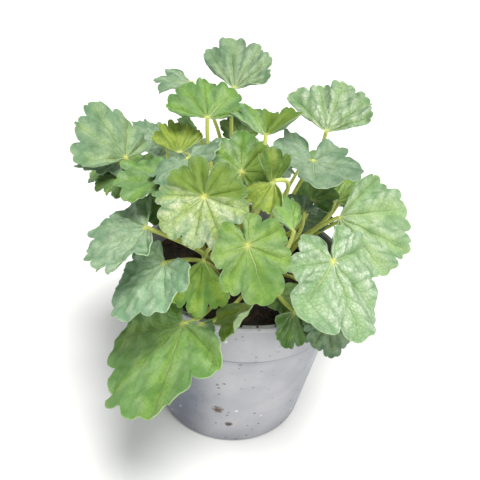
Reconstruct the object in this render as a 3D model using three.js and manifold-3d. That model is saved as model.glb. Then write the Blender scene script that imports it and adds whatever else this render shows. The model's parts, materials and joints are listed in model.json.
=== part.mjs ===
// Potted coral bells (Heuchera) in a thin plastic nursery pot. Millimetres, +Z up.
// Origin: centre of the pot's base, on the surface it stands on. The front is -Y.
// Pieces: the pot, its soil, the woody crown, and each leaf, its stalk and blade in one.
import * as THREE from "three";
import { mergeVertices } from "three/addons/utils/BufferGeometryUtils.js";
import Module from "manifold-3d";

// Pot
const POT_HEIGHT = 104;
const RIM_RADIUS = 60;
const RIM_WIDTH = 2.6;
const LIP_DEPTH = 3;
const LIP_ROUND = 0.8;
const BAND_HEIGHT = 26;
const BAND_STEP = 1.2;
const BAND_TAPER_SHARE = 0.25;
const BASE_RADIUS = 44.4;
const POT_WALL = 1.3;
const BASE_THICKNESS = 1.6;
const FOOT_CHAMFER = 2;
const DRAIN_HOLES = 6;
const DRAIN_RADIUS = 4;
const DRAIN_CIRCLE = 27;
const DRAIN_SIDES = 10;
const POT_SIDES = 40;

// Soil and crown
const CLEARANCE = 0.3;
const SOIL_TOP = 91;
const SOIL_LUMPS = 0.8;
const BROAD_LUMPS = 3;
const SMALL_LUMPS = 7;
const LUMP_LENGTH = 5;
const SOIL_RINGS = 5;
const CROWN_RADIUS = 20;
const CROWN_TOP = 98;
const CROWN_DROP = 5;
const CROWN_BOTTOM = 78;
const CROWN_STUB_SHARE = 0.7;
const CROWN_STUB_HEIGHT = 5;
const CROWN_RINGS = 3;
const CROWN_SIDES = 20;
const SOCKET_SPACING = 2.45;
const SOCKET_DEPTH = 3;
const GOLDEN_TURN = 137.5;
const ROOT_LEAN = 0.22;

// Leaf form, in parts of the leaf's own length
const BLADE_THICKNESS = 0.9;
const LOBE_ROUNDNESS = 3.5;
const TOOTH_CUT = 0.06;
const TOOTH_ROUNDNESS = 2.5;
const TAPER_POWER = 1.15;
const FULL_SPREAD = 165;
const RUFFLE = 0.05;
const RUFFLE_GROWTH = 1.6;
const WAVE = 0.05;
const WAVE_TURN = 2.4;
const FOLD_ROUND = 0.08;
const LEAST_DROOP = 0.1;
const MIDDLE_RING = 0.5;

// Stalk
const STALK_ROOT_RADIUS = 1.4;
const STALK_TIP_RADIUS = 1.1;
const STALK_SIDES = 5;
const STALK_STEPS = 4;
const STALK_REACH = 0.35;
const STALK_SPLAY = 0.6;
const STALK_ENTRY_UP = 0.55;
const STALK_ENTRY_ALONG = 0.45;

const COLOURS = {
  green: 0x7fa05c,
  blue: 0x93ab90,
  silver: 0xb3c79c,
  bright: 0x8fb25c,
  young: 0xb4bf4e,
};

// Each leaf: name, joint of stalk and blade, heading and rise of its midrib, bank, length from
// the joint to the tip, spread of its lobes to each side, skew towards one side, fold along
// the midrib, droop towards the tip, lobes, teeth to a lobe, cut between lobes, how much shorter
// its hindmost lobes are, sideways bow of the stalk, colour.
const LEAVES = [
  ["front_low_left", [-25.7, -67.2, 110.2], 215, -36, 8, 53, 116, 0, 0, 10, 5, 3, 0.07, 0.6, 0, "green"],
  ["left_front_grey", [-36, -61, 140], 224, -36, 15, 32, 120, 0, 0, 10, 5, 3, 0.1, 0.56, -2, "blue"],
  ["left_outer_grey", [-46, -51, 152], 192, -22, 0, 34, 105, 0, 0, 12, 7, 3, 0.1, 0.56, 0, "blue"],
  ["center_left_mottled", [-20, -56, 174], 258, -45, -4, 24.5, 165, 0, 0, 10, 9, 3, 0.15, 0.3, 0, "silver"],
  ["inner_dark", [0, 36, 120], 92, 40, 0, 22, 120, 0, 0, 10, 5, 2, 0.16, 0.56, 0, "green"],
  ["center_bright", [1, -72.2, 161.8], 312, -48, 5, 26, 165, 0, 0, 10, 7, 3, 0.2, 0.5, 0, "bright"],
  ["right_large", [41, -55, 146], 300, -42, -15, 40, 165, 0.12, -10, 10, 7, 3, 0.12, 0.56, 8, "silver"],
  ["right_outer", [47, -12, 144], 348, -12, 33, 42, 84, 0, 0, 10, 5, 3, 0.1, 0.56, 0, "blue"],
  ["right_upper_wide", [29.5, -9, 173], 275, -6, -10, 27, 165, 0.06, 8, -12, 7, 3, 0.12, 0.25, -4, "blue"],
  ["top_right", [36, 10.8, 180.4], 70, 34, 0, 34, 68, 0.12, 0, 12, 5, 3, 0.08, 0.56, 4, "silver"],
  ["top_mid_right", [5, -6, 183], 85, 8, -8, 25, 80, 0, 22, 0, 5, 3, 0.16, 0.56, 0, "green"],
  ["center_top", [-5, -22, 170], 102, 45, 10, 20.5, 162, 0, 8, -10, 7, 3, 0.14, 0.45, 0, "bright"],
  ["center_right_small", [22, -45, 154], 135, 30, 20, 20, 60, 0, 15, 0, 3, 3, 0.16, 0.56, -6, "bright"],
  ["top_center_left", [-25, 5, 184], 98, 28, 0, 27, 90, 0, 0, 5, 5, 3, 0.12, 0.56, 0, "green"],
  ["top_leaf", [-14, 28, 192], 64, 35, 0, 32, 68, 0.3, 0, 5, 5, 3, 0.16, 0.56, 0, "blue"],
  ["top_left_small", [-38, 45, 187], 178, 0, -15, 21, 50, 0, 0, 5, 3, 3, 0.16, 0.56, -4, "blue"],
  ["left_upper", [-63, -11.7, 165.8], 142, 42, 4, 31.5, 92, 0.16, 0, 10, 5, 3, 0.1, 0.55, 2, "blue"],
  ["left_mid", [-41, -29, 166], 186, -5, 0, 26, 115, 0, 0, 10, 5, 3, 0.12, 0.56, 0, "green"],
  ["left_center_blue", [-31, -24.2, 175.4], 275, 8, 30, 26, 160, 0, 0, 5, 7, 3, 0.14, 0.56, 0, "blue"],
  ["left_young", [-37, -5, 168], 108, 25, 0, 21, 60, 0, 0, 5, 5, 3, 0.16, 0.56, 0, "young"],
  ["lower_center", [-19, -48.6, 135.2], 266, -55, 0, 28, 50, 0, 0, 10, 3, 3, 0.18, 0.56, 0, "bright"],
  ["right_back_pale", [50, 14, 138], 42, 15, 0, 26, 110, 0, 0, 10, 7, 2, 0.16, 0.56, 0, "silver"],
  ["right_fold", [46, 4, 144], 50, 35, 0, 17, 90, 0, 0, 0, 5, 2, 0.16, 0.56, 0, "bright"],
  ["right_inner_dark", [33, -4, 147], 50, 25, 0, 17, 110, 0, 0, 10, 5, 2, 0.16, 0.56, 0, "green"],
  ["center_right_dark", [28, -17, 148], 128, 20, 0, 13, 130, 0, 0, 10, 5, 2, 0.16, 0.56, 0, "blue"],
  ["right_under_blue", [34, 24, 118], 0, 10, 0, 18, 115, 0, 0, 10, 5, 2, 0.16, 0.56, 0, "blue"],
  ["low_small_pale", [-17, -66, 110], 290, -19, 0, 8.5, 120, 0, 0, 0, 5, 2, 0.16, 0.56, 14, "silver"],
  ["front_curl", [7, -58, 121], 232, -40, 40, 24, 50, 0, 30, 0, 3, 3, 0.16, 0.56, -9, "young"],
  ["right_low_dark", [20, -40, 111], 330, -10, 0, 17, 110, 0, 0, 10, 5, 2, 0.16, 0.56, -2, "green"],
  ["right_low_mid", [27, -55, 114], 318, -63, 0, 20, 110, 0, 0, 10, 7, 3, 0.16, 0.56, 0, "green"],
  ["right_low_outer", [45, -52, 109], 288, -50, 0, 19, 150, 0, 0, 10, 7, 3, 0.16, 0.56, 6, "blue"],
  ["behind_left_grey", [-48, 20, 159], 168, 30, 0, 22, 110, 0, 0, 5, 7, 2, 0.16, 0.56, 0, "blue"],
  ["dark_behind_left", [-32, 32, 164], 184, 30, 0, 14, 80, 0, 0, 5, 5, 2, 0.16, 0.56, -6, "green"],
  ["dark_top_mid", [-8, 32, 164], 120, 30, 0, 15, 110, 0, 0, 5, 5, 2, 0.16, 0.56, 0, "green"],
  ["left_under_blue", [-71, -3, 159], 196, -5, 0, 20, 110, 0, 0, 10, 7, 2, 0.16, 0.56, -6, "blue"],
  ["left_low_dark", [-61, -14, 159], 210, -20, 0, 19, 80, 0, 0, 10, 7, 2, 0.16, 0.56, 4, "green"],
  ["left_under_mid", [-39, -26, 152], 206, -20, 0, 18, 130, 0, 0, 10, 5, 2, 0.16, 0.56, -4, "green"],
  ["center_young", [10, -41, 177], 235, -40, 0, 17, 62, 0, 0, 0, 5, 2, 0.16, 0.56, 3, "young"],
  ["center_young_fold", [10, -33, 170], 100, 52, 10, 18, 40, 0, 30, 0, 3, 3, 0.16, 0.56, -8, "green"],
  ["back_left_high", [-40, 55, 138], 140, -5, 0, 30, 145, 0, 0, 10, 7, 2, 0.16, 0.56, 0, "blue"],
  ["back_left_low", [-30, 75, 120], 118, -30, 5, 32, 145, 0, 0, 10, 7, 2, 0.16, 0.56, 0, "green"],
  ["back_mid_high", [-5, 62, 126], 95, 33, 0, 29, 145, 0, 0, 10, 7, 2, 0.16, 0.56, 0, "silver"],
  ["back_mid_low", [5, 80, 122], 88, -40, 0, 34, 145, 0, 0, 10, 7, 2, 0.16, 0.56, 0, "blue"],
  ["back_right_high", [30, 55, 138], 55, -5, 0, 30, 145, 0, 0, 10, 7, 2, 0.16, 0.56, 0, "green"],
  ["back_right_low", [45, 65, 118], 50, -35, 5, 30, 145, 0, 0, 10, 7, 2, 0.16, 0.56, 0, "blue"],
  ["side_right", [65, 25, 128], 20, -20, 0, 26, 145, 0, 0, 10, 7, 2, 0.16, 0.56, 0, "green"],
  ["side_left", [-72, 30, 138], 155, -20, 0, 28, 145, 0, 0, 10, 7, 2, 0.16, 0.56, 0, "green"],
  ["side_right_low", [55, -5, 114], 5, -35, 0, 22, 145, 0, 0, 10, 7, 2, 0.16, 0.56, 0, "blue"],
  ["side_left_low", [-64, -8, 124], 186, -35, 0, 26, 145, 0, 0, 10, 7, 2, 0.16, 0.56, 0, "silver"],
];

const wasm = await Module();
wasm.setup();

const radians = THREE.MathUtils.degToRad;

// A closed body for joining and cutting, from a geometry
function bodyOf(geometry) {
  const bare = geometry.clone();
  bare.deleteAttribute("normal");
  bare.deleteAttribute("uv");
  const merged = mergeVertices(bare, 1e-4);
  return new wasm.Manifold(new wasm.Mesh({
    numProp: 3,
    vertProperties: new Float32Array(merged.attributes.position.array),
    triVerts: new Uint32Array(merged.index.array),
  }));
}

function geometryOf(body) {
  const mesh = body.getMesh();
  const geometry = new THREE.BufferGeometry();
  geometry.setAttribute("position", new THREE.BufferAttribute(new Float32Array(mesh.vertProperties), 3));
  geometry.setIndex(new THREE.BufferAttribute(new Uint32Array(mesh.triVerts), 1));
  return geometry;
}

function geometryFrom(points, triangles) {
  const geometry = new THREE.BufferGeometry();
  geometry.setAttribute("position", new THREE.Float32BufferAttribute(points.flatMap((p) => p.toArray()), 3));
  geometry.setIndex(triangles.flat());
  return geometry;
}

function addMesh(group, name, geometry, colour, roughness) {
  const faceted = geometry.toNonIndexed();
  faceted.computeVertexNormals();
  const material = new THREE.MeshStandardMaterial({ color: colour, roughness, metalness: 0 });
  const mesh = new THREE.Mesh(faceted, material);
  mesh.name = name;
  group.add(mesh);
}

// A profile of [radius, height] turned round the Z axis
function turned(profile, sides) {
  const geometry = new THREE.LatheGeometry(profile.map(([r, z]) => new THREE.Vector2(r, z)), sides);
  geometry.rotateX(Math.PI / 2);
  return geometry;
}

// Wall radius of the pot at a height: one taper below the band and one along the band
function potRadius(height) {
  const bandFoot = POT_HEIGHT - BAND_HEIGHT;
  const bandFootRadius = RIM_RADIUS - RIM_WIDTH;
  const taper = (bandFootRadius - BAND_STEP - BASE_RADIUS) / bandFoot;
  if (height <= bandFoot) return BASE_RADIUS + taper * height;
  return bandFootRadius + taper * BAND_TAPER_SHARE * (height - bandFoot);
}

// Thin tapering pot with an upright band, a rolled lip and drain holes in its flat base
function makePot() {
  const bandFoot = POT_HEIGHT - BAND_HEIGHT;
  const lipFoot = POT_HEIGHT - LIP_DEPTH;
  const outside = [
    [0, 0],
    [BASE_RADIUS - FOOT_CHAMFER, 0],
    [potRadius(FOOT_CHAMFER), FOOT_CHAMFER],
    [potRadius(bandFoot), bandFoot],
    [potRadius(bandFoot) + BAND_STEP, bandFoot + BAND_STEP / 2],
    [potRadius(lipFoot), lipFoot],
    [RIM_RADIUS, lipFoot + LIP_ROUND],
    [RIM_RADIUS, POT_HEIGHT - LIP_ROUND],
    [RIM_RADIUS - LIP_ROUND, POT_HEIGHT],
  ];
  const inside = [
    [potRadius(POT_HEIGHT) - POT_WALL, POT_HEIGHT],
    [potRadius(bandFoot) + BAND_STEP - POT_WALL, bandFoot + BAND_STEP],
    [potRadius(bandFoot) - POT_WALL, bandFoot],
    [potRadius(BASE_THICKNESS) - POT_WALL, BASE_THICKNESS],
    [0, BASE_THICKNESS],
  ];
  let pot = bodyOf(turned([...outside, ...inside], POT_SIDES));
  for (let i = 0; i < DRAIN_HOLES; i++) {
    const angle = radians((360 / DRAIN_HOLES) * i);
    const hole = new THREE.CylinderGeometry(DRAIN_RADIUS, DRAIN_RADIUS, 4 * BASE_THICKNESS, DRAIN_SIDES);
    hole.rotateX(Math.PI / 2);
    hole.translate(DRAIN_CIRCLE * Math.cos(angle), DRAIN_CIRCLE * Math.sin(angle), 0);
    pot = pot.subtract(bodyOf(hole));
  }
  return geometryOf(pot);
}

// Soil surface: nearly level, with small lumps
function soilHeight(radius, angle) {
  const edge = radius / (potRadius(SOIL_TOP) - POT_WALL);
  const outwards = radius / LUMP_LENGTH;
  const broad = Math.sin(BROAD_LUMPS * angle) * Math.sin(outwards);
  const small = Math.sin(SMALL_LUMPS * angle + outwards) / 2;
  const lumps = broad + small;
  return SOIL_TOP + SOIL_LUMPS * lumps * (1 - edge);
}

// Potting soil that fills the pot, with a plain hole for the crown
function makeSoil() {
  const bandFoot = POT_HEIGHT - BAND_HEIGHT;
  const gap = POT_WALL + CLEARANCE;
  const floor = BASE_THICKNESS + CLEARANCE;
  const sides = [
    [potRadius(floor) - gap, floor],
    [potRadius(bandFoot) - gap, bandFoot - CLEARANCE],
    [potRadius(bandFoot) + BAND_STEP - gap, bandFoot + BAND_STEP + CLEARANCE],
    [potRadius(SOIL_TOP) - gap, SOIL_TOP],
  ];
  const hole = CROWN_RADIUS + CLEARANCE;
  const points = [];
  const rings = [];
  const addRing = (radiusOf, heightOf) => {
    const ring = [];
    for (let i = 0; i < POT_SIDES; i++) {
      const angle = (2 * Math.PI * i) / POT_SIDES;
      const radius = radiusOf(angle);
      ring.push(points.length);
      const height = heightOf(radius, angle);
      points.push(new THREE.Vector3(radius * Math.cos(angle), radius * Math.sin(angle), height));
    }
    rings.push(ring);
  };
  addRing(() => hole, () => CROWN_BOTTOM - CLEARANCE);
  for (let k = 0; k <= SOIL_RINGS; k++) {
    const outer = sides[sides.length - 1][0];
    addRing(() => hole + ((outer - hole) * k) / SOIL_RINGS, soilHeight);
  }
  for (const [radius, height] of sides.slice(0, -1).reverse()) addRing(() => radius, () => height);
  const triangles = [];
  for (let k = 0; k + 1 < rings.length; k++) {
    for (let i = 0; i < POT_SIDES; i++) {
      const j = (i + 1) % POT_SIDES;
      const [inner, outer] = [rings[k], rings[k + 1]];
      triangles.push([inner[i], outer[i], outer[j]], [inner[i], outer[j], inner[j]]);
    }
  }
  const capEnd = (ring, height, flip) => {
    const centre = points.length;
    points.push(new THREE.Vector3(0, 0, height));
    for (let i = 0; i < POT_SIDES; i++) {
      const j = (i + 1) % POT_SIDES;
      triangles.push(flip ? [centre, ring[j], ring[i]] : [centre, ring[i], ring[j]]);
    }
  };
  capEnd(rings[0], CROWN_BOTTOM - CLEARANCE, false);
  capEnd(rings[rings.length - 1], floor, true);
  return geometryFrom(points, triangles);
}

// Height of the crown's domed top
function crownHeight(radius) {
  return CROWN_TOP - CROWN_DROP * (radius / CROWN_RADIUS) ** 2;
}

// Where the stalks root: one socket each in a sunflower pattern, shared out so that each stalk
// starts on its leaf's side. Two leaves trade sockets while that brings them nearer in all.
function rootsOf(leaves) {
  const sockets = leaves.map((_, k) => {
    const radius = SOCKET_SPACING * Math.sqrt(k + 0.5);
    const angle = radians(GOLDEN_TURN * k);
    const height = crownHeight(radius) - SOCKET_DEPTH;
    return new THREE.Vector3(radius * Math.cos(angle), radius * Math.sin(angle), height);
  });
  const miss = (leaf, socket) => {
    const x = leaf.joint.x * ROOT_LEAN - socket.x;
    const y = leaf.joint.y * ROOT_LEAN - socket.y;
    return x * x + y * y;
  };
  let traded = true;
  while (traded) {
    traded = false;
    for (let i = 0; i < leaves.length; i++) {
      for (let j = i + 1; j < leaves.length; j++) {
        const now = miss(leaves[i], sockets[i]) + miss(leaves[j], sockets[j]);
        const then = miss(leaves[i], sockets[j]) + miss(leaves[j], sockets[i]);
        if (then < now - 1e-6) {
          [sockets[i], sockets[j]] = [sockets[j], sockets[i]];
          traded = true;
        }
      }
    }
  }
  return new Map(leaves.map((leaf, i) => [leaf.name, sockets[i]]));
}

// Midrib, side and upward directions of a blade
function bladeAxes(leaf) {
  const h = radians(leaf.heading);
  const r = radians(leaf.rise);
  const b = radians(leaf.bank);
  const midrib = new THREE.Vector3(Math.cos(h) * Math.cos(r), Math.sin(h) * Math.cos(r), Math.sin(r));
  const level = new THREE.Vector3(-Math.sin(h), Math.cos(h), 0);
  const above = new THREE.Vector3().crossVectors(midrib, level);
  const side = level.clone().multiplyScalar(Math.cos(b)).addScaledVector(above, Math.sin(b));
  const up = above.clone().multiplyScalar(Math.cos(b)).addScaledVector(level, -Math.sin(b));
  return { midrib, side, up };
}

// Distance from the joint to the edge: round lobes, each with small round teeth
function edgeRadius(leaf, angle) {
  const degrees = THREE.MathUtils.radToDeg(angle);
  const lobe = degrees / ((2 * leaf.spread) / leaf.lobes);
  const inLobe = Math.abs(lobe - Math.round(lobe));
  const tooth = lobe * leaf.teeth;
  const inTooth = Math.abs(tooth - Math.round(tooth));
  const taper = 1 - leaf.taper * (Math.abs(degrees) / FULL_SPREAD) ** TAPER_POWER;
  const lobeNotch = 1 - leaf.cut * (2 * inLobe) ** LOBE_ROUNDNESS;
  const toothNotch = 1 - TOOTH_CUT * (2 * inTooth) ** TOOTH_ROUNDNESS;
  return taper * lobeNotch * toothNotch * (1 + leaf.skew * Math.sin(angle));
}

// A point of the blade's middle surface, at an angle from the midrib and a share of the way out
function bladePoint(leaf, axes, angle, share) {
  const rho = share * edgeRadius(leaf, angle);
  const along = rho * Math.cos(angle);
  const across = rho * Math.sin(angle);
  const lobe = THREE.MathUtils.radToDeg(angle) / ((2 * leaf.spread) / leaf.lobes);
  const inLobe = lobe - Math.round(lobe);
  const lift = RUFFLE * share ** RUFFLE_GROWTH * (0.5 - 0.5 * Math.cos(2 * Math.PI * inLobe))
    + Math.tan(radians(leaf.fold)) * (Math.hypot(across, FOLD_ROUND) - FOLD_ROUND)
    + WAVE * share ** 2 * Math.sin(2 * angle + WAVE_TURN * leaf.index);
  const bend = radians(Math.abs(leaf.droop) < LEAST_DROOP ? LEAST_DROOP : leaf.droop);
  const turn = bend * along;
  const forward = Math.sin(turn) / bend + lift * Math.sin(turn);
  const upward = -(1 - Math.cos(turn)) / bend + lift * Math.cos(turn);
  return leaf.joint.clone()
    .addScaledVector(axes.midrib, leaf.length * forward)
    .addScaledVector(axes.side, leaf.length * across)
    .addScaledVector(axes.up, leaf.length * upward);
}

// A thin closed blade, both faces split alike: joint, a middle ring and the toothed edge
function bladeGeometry(leaf) {
  const axes = bladeAxes(leaf);
  const spread = radians(leaf.spread);
  const edgeSteps = leaf.lobes * leaf.teeth * 2;
  const midSteps = leaf.lobes * 2;
  const middle = [leaf.joint.clone()];
  for (let i = 0; i <= midSteps; i++) {
    middle.push(bladePoint(leaf, axes, -spread + (2 * spread * i) / midSteps, MIDDLE_RING));
  }
  for (let i = 0; i <= edgeSteps; i++) {
    middle.push(bladePoint(leaf, axes, -spread + (2 * spread * i) / edgeSteps, 1));
  }
  const ring = (i) => 1 + i;
  const edge = (i) => 2 + midSteps + i;
  const face = [];
  for (let i = 0; i < midSteps; i++) {
    face.push([0, ring(i), ring(i + 1)]);
    const first = i * leaf.teeth;
    face.push([ring(i), edge(first), edge(first + 1)]);
    face.push([ring(i), edge(first + 1), ring(i + 1)]);
    for (let k = 1; k < leaf.teeth; k++) face.push([ring(i + 1), edge(first + k), edge(first + k + 1)]);
  }
  const border = [0, ring(0)];
  for (let i = 0; i <= edgeSteps; i++) border.push(edge(i));
  border.push(ring(midSteps));
  const count = middle.length;
  const half = axes.up.clone().multiplyScalar(BLADE_THICKNESS / 2);
  const points = [...middle.map((p) => p.clone().add(half)), ...middle.map((p) => p.clone().sub(half))];
  const triangles = [];
  for (const [a, b, c] of face) triangles.push([a, b, c], [a + count, c + count, b + count]);
  border.forEach((a, i) => {
    const b = border[(i + 1) % border.length];
    triangles.push([a, a + count, b + count], [a, b + count, b]);
  });
  return geometryFrom(points, triangles);
}

// Curve of a stalk: up and outwards from its root, then into the joint from below
function stalkCurve(leaf, root) {
  const { midrib, up } = bladeAxes({ ...leaf, bank: 0 });
  const reach = leaf.joint.distanceTo(root) * STALK_REACH;
  const outward = new THREE.Vector3(leaf.joint.x - root.x, leaf.joint.y - root.y, 0).normalize();
  const sideways = new THREE.Vector3(-outward.y, outward.x, 0);
  const lean = Math.hypot(leaf.joint.x - root.x, leaf.joint.y - root.y) / leaf.joint.distanceTo(root);
  const leaving = new THREE.Vector3(0, 0, 1).addScaledVector(outward, STALK_SPLAY * lean).normalize();
  const arriving = up.clone().multiplyScalar(STALK_ENTRY_UP).addScaledVector(midrib, STALK_ENTRY_ALONG);
  arriving.normalize();
  const first = root.clone().addScaledVector(leaving, reach).addScaledVector(sideways, leaf.bow);
  const second = leaf.joint.clone().addScaledVector(arriving, -reach).addScaledVector(sideways, leaf.bow);
  return new THREE.CubicBezierCurve3(root, first, second, leaf.joint);
}

// A tapering closed tube along a stalk's curve
function stalkGeometry(curve, extra, steps) {
  const points = [];
  const triangles = [];
  const frame = new THREE.Vector3(1, 0, 0);
  for (let k = 0; k <= steps; k++) {
    const t = k / steps;
    const centre = curve.getPoint(t);
    const ahead = curve.getTangent(t);
    const across = frame.clone().addScaledVector(ahead, -frame.dot(ahead)).normalize();
    const third = new THREE.Vector3().crossVectors(ahead, across);
    frame.copy(across);
    const radius = STALK_ROOT_RADIUS + (STALK_TIP_RADIUS - STALK_ROOT_RADIUS) * t + extra;
    for (let i = 0; i < STALK_SIDES; i++) {
      const angle = (2 * Math.PI * i) / STALK_SIDES;
      points.push(centre.clone()
        .addScaledVector(across, radius * Math.cos(angle))
        .addScaledVector(third, radius * Math.sin(angle)));
    }
  }
  const at = (k, i) => k * STALK_SIDES + (i % STALK_SIDES);
  for (let k = 0; k < steps; k++) {
    for (let i = 0; i < STALK_SIDES; i++) {
      triangles.push([at(k, i), at(k, i + 1), at(k + 1, i + 1)], [at(k, i), at(k + 1, i + 1), at(k + 1, i)]);
    }
  }
  for (let i = 1; i + 1 < STALK_SIDES; i++) {
    triangles.push([at(0, 0), at(0, i + 1), at(0, i)], [at(steps, 0), at(steps, i), at(steps, i + 1)]);
  }
  return geometryFrom(points, triangles);
}

// Crown: a low woody dome on a short stub, with a socket for each stalk
function makeCrown(leaves, roots) {
  const profile = [
    [0, CROWN_BOTTOM],
    [CROWN_RADIUS * CROWN_STUB_SHARE, CROWN_BOTTOM],
    [CROWN_RADIUS, CROWN_BOTTOM + CROWN_STUB_HEIGHT],
  ];
  for (let k = CROWN_RINGS; k >= 0; k--) {
    const radius = (CROWN_RADIUS * k) / CROWN_RINGS;
    profile.push([radius, crownHeight(radius)]);
  }
  const dome = bodyOf(turned(profile, CROWN_SIDES));
  const stalks = leaves.map((leaf) => {
    const root = roots.get(leaf.name).clone();
    const start = root.clone().sub(new THREE.Vector3(0, 0, CLEARANCE));
    const curve = stalkCurve(leaf, root);
    const shifted = new THREE.CubicBezierCurve3(start, curve.v1, curve.v2, curve.v3);
    return bodyOf(stalkGeometry(shifted, CLEARANCE, STALK_STEPS));
  });
  return geometryOf(dome.subtract(wasm.Manifold.union(stalks)));
}

const leaves = LEAVES.map((row, index) => {
  const [name, at, heading, rise, bank, length, spread, skew, fold, droop] = row;
  const [lobes, teeth, cut, taper, bow, colour] = row.slice(10);
  const joint = new THREE.Vector3(...at);
  return {
    name, joint, heading, rise, bank, length, spread, skew, fold, droop,
    lobes, teeth, cut, taper, bow, colour, index,
  };
});
const roots = rootsOf(leaves);

const plant = new THREE.Group();
addMesh(plant, "pot", makePot(), 0xb9b9bd, 0.5);
addMesh(plant, "soil", makeSoil(), 0x2e2620, 0.95);
addMesh(plant, "crown", makeCrown(leaves, roots), 0x6b5238, 0.85);
for (const leaf of leaves) {
  const stalk = bodyOf(stalkGeometry(stalkCurve(leaf, roots.get(leaf.name)), 0, STALK_STEPS));
  const whole = bodyOf(bladeGeometry(leaf)).add(stalk);
  addMesh(plant, leaf.name, geometryOf(whole), COLOURS[leaf.colour], 0.6);
}

export default plant;
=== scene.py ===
import json
import math
import random

import bpy
import numpy as np
from mathutils import Matrix, Vector, noise


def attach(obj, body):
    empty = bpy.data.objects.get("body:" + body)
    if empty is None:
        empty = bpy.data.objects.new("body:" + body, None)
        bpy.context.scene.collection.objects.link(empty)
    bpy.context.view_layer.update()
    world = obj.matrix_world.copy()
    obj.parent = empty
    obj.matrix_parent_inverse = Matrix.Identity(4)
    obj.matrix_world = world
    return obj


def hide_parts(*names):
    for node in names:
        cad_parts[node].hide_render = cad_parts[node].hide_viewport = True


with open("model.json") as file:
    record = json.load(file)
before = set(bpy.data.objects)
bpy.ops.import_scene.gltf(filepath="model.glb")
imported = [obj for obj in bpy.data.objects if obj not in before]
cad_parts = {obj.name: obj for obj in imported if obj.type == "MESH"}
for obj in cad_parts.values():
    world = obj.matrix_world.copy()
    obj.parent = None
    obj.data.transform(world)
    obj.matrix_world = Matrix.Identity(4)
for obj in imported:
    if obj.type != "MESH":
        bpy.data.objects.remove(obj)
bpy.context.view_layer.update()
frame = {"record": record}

bl_info = {
    "name": "Potted coral bells",
    "version": (1, 0, 0),
    "blender": (4, 5, 0),
    "location": "3D View > Sidebar > Coral Bells",
    "description": "Builds a coral bells plant in a grey nursery pot round its packed solids",
    "category": "Object",
}

MM = 0.001

# Pot, soil and crown, in millimetres, as the solids have them
POT_HEIGHT = 104
RIM_RADIUS = 60
RIM_WIDTH = 2.6
LIP_DEPTH = 3
LIP_ROUND = 0.8
BAND_HEIGHT = 26
BAND_STEP = 1.2
BAND_TAPER_SHARE = 0.25
BASE_RADIUS = 44.4
POT_WALL = 1.3
BASE_THICKNESS = 1.6
FOOT_CHAMFER = 2
DRAIN_HOLES = 6
DRAIN_RADIUS = 4
DRAIN_CIRCLE = 27
CLEARANCE = 0.3
SOIL_TOP = 91
SOIL_LUMPS = 0.8
CROWN_RADIUS = 20
CROWN_TOP = 98
CROWN_DROP = 5
CROWN_BOTTOM = 78

# Forms that are finer than in the solids, in millimetres, and how finely they are turned
BAND_FOOT = POT_HEIGHT - BAND_HEIGHT
BAND_LINE = BAND_FOOT - 0.2
BASE_HUB = 6
SOIL_HUB = 3
CROWN_HUB = 2
SOIL_RINGS = 30
CROWN_RINGS = 14
CROWN_SIDES = 96
CROWN_SHOULDER = 5
KNOBS_START = 8
SOIL_WALL_FADE = 3

# Rough surfaces: height in millimetres, waves to a millimetre, and the layer of the noise
SOIL_BUMPS = [(0.9, 0.22, 1.5), (0.5, 0.7, 7.5)]
CROWN_KNOBS = (1.2, 0.35)
CROWN_BARK = (0.5, 1.1, 4)
CROWN_SINK = 0.4

# Crumbs of bark: least size and how much larger some are (mm), length and height against the width,
# tilt (radians), how rough they are and how finely, and how far they stay from the wall (mm)
CRUMB_SIZE = (0.5, 1.3)
CRUMB_LENGTH = (1, 1.9)
CRUMB_HEIGHT = (0.4, 0.8)
CRUMB_TILT = 0.5
CRUMB_ROUGHNESS = 0.35
CRUMB_PITCH = 1.7
CRUMB_WALL_GAP = 2

# Crumbs on the pot's rim: angle round the pot in degrees, distance in from its edge and size in mm
RIM_CRUMBS = [(-88, 1.6, 0.9), (-80, 1.4, 0.8), (-93, 1.9, 0.6), (-71, 1.2, 0.5), (-104, 1.5, 0.5)]

# Soil fibres: points, turn from one to the next in radians, and sizes in millimetres
FIBRE_POINTS = 4
FIBRE_TURN = 0.7
FIBRE_STRIDE = (1.5, 4)
FIBRE_LIFT = (0.1, 1.2)
FIBRE_RADIUS = (0.1, 0.22)
FIBRE_WALL_GAP = 1.5

# Middle and radius of each dried patch of soil on the pot's wall, in millimetres
POT_PATCHES = [((-5.7, -49, 32), 6.5), ((1.5, -47.2, 18.5), 4.5)]

# Stalk sockets in the crown
SOCKET_SPACING = 2.45
SOCKET_DEPTH = 3
GOLDEN_TURN = 137.5
ROOT_LEAN = 0.22

# Leaf form: shares of a blade's length, and powers that round or sharpen a form
NOTCH_DEPTH = 1.3
LOBE_ROUNDNESS = 2.4
TOOTH_CUT = 0.07
TOOTH_ROUNDNESS = 2.2
LOBE_SHIFT = 0.11
LOBE_UNEVENNESS = 0.045
TAPER_POWER = 1.15
FULL_SPREAD = 165
RUFFLE = 0.045
RUFFLE_GROWTH = 2.6
FLANK = 0.032
FLANK_GROWTH = 1.2
WAVE = 0.05
WAVE_TURN = 2.4
SWELL = 0.05
CORNER_CUT = 0.32
FOLD_ROUND = 0.08
LEAST_DROOP = 0.1
STALK_REACH = 0.35
STALK_SPLAY = 0.6
STALK_ENTRY_UP = 0.55
STALK_ENTRY_ALONG = 0.45

# Relief of a blade in millimetres, and how far a side vein runs outwards for each one sideways
GROOVE_WIDTH = 0.9
QUILT_WIDTH = 2.5
RIPPLE = 0.45
VEIN_SLANT = 0.95

# Grid of a blade: columns to a tooth on a long and on a short leaf, and the fewest and most rows
LONG_LEAF = 16
LONG_LEAF_COLUMNS = 8
SHORT_LEAF_COLUMNS = 6
ROW_LENGTH = 1.7
ROWS = (10, 22)

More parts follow.
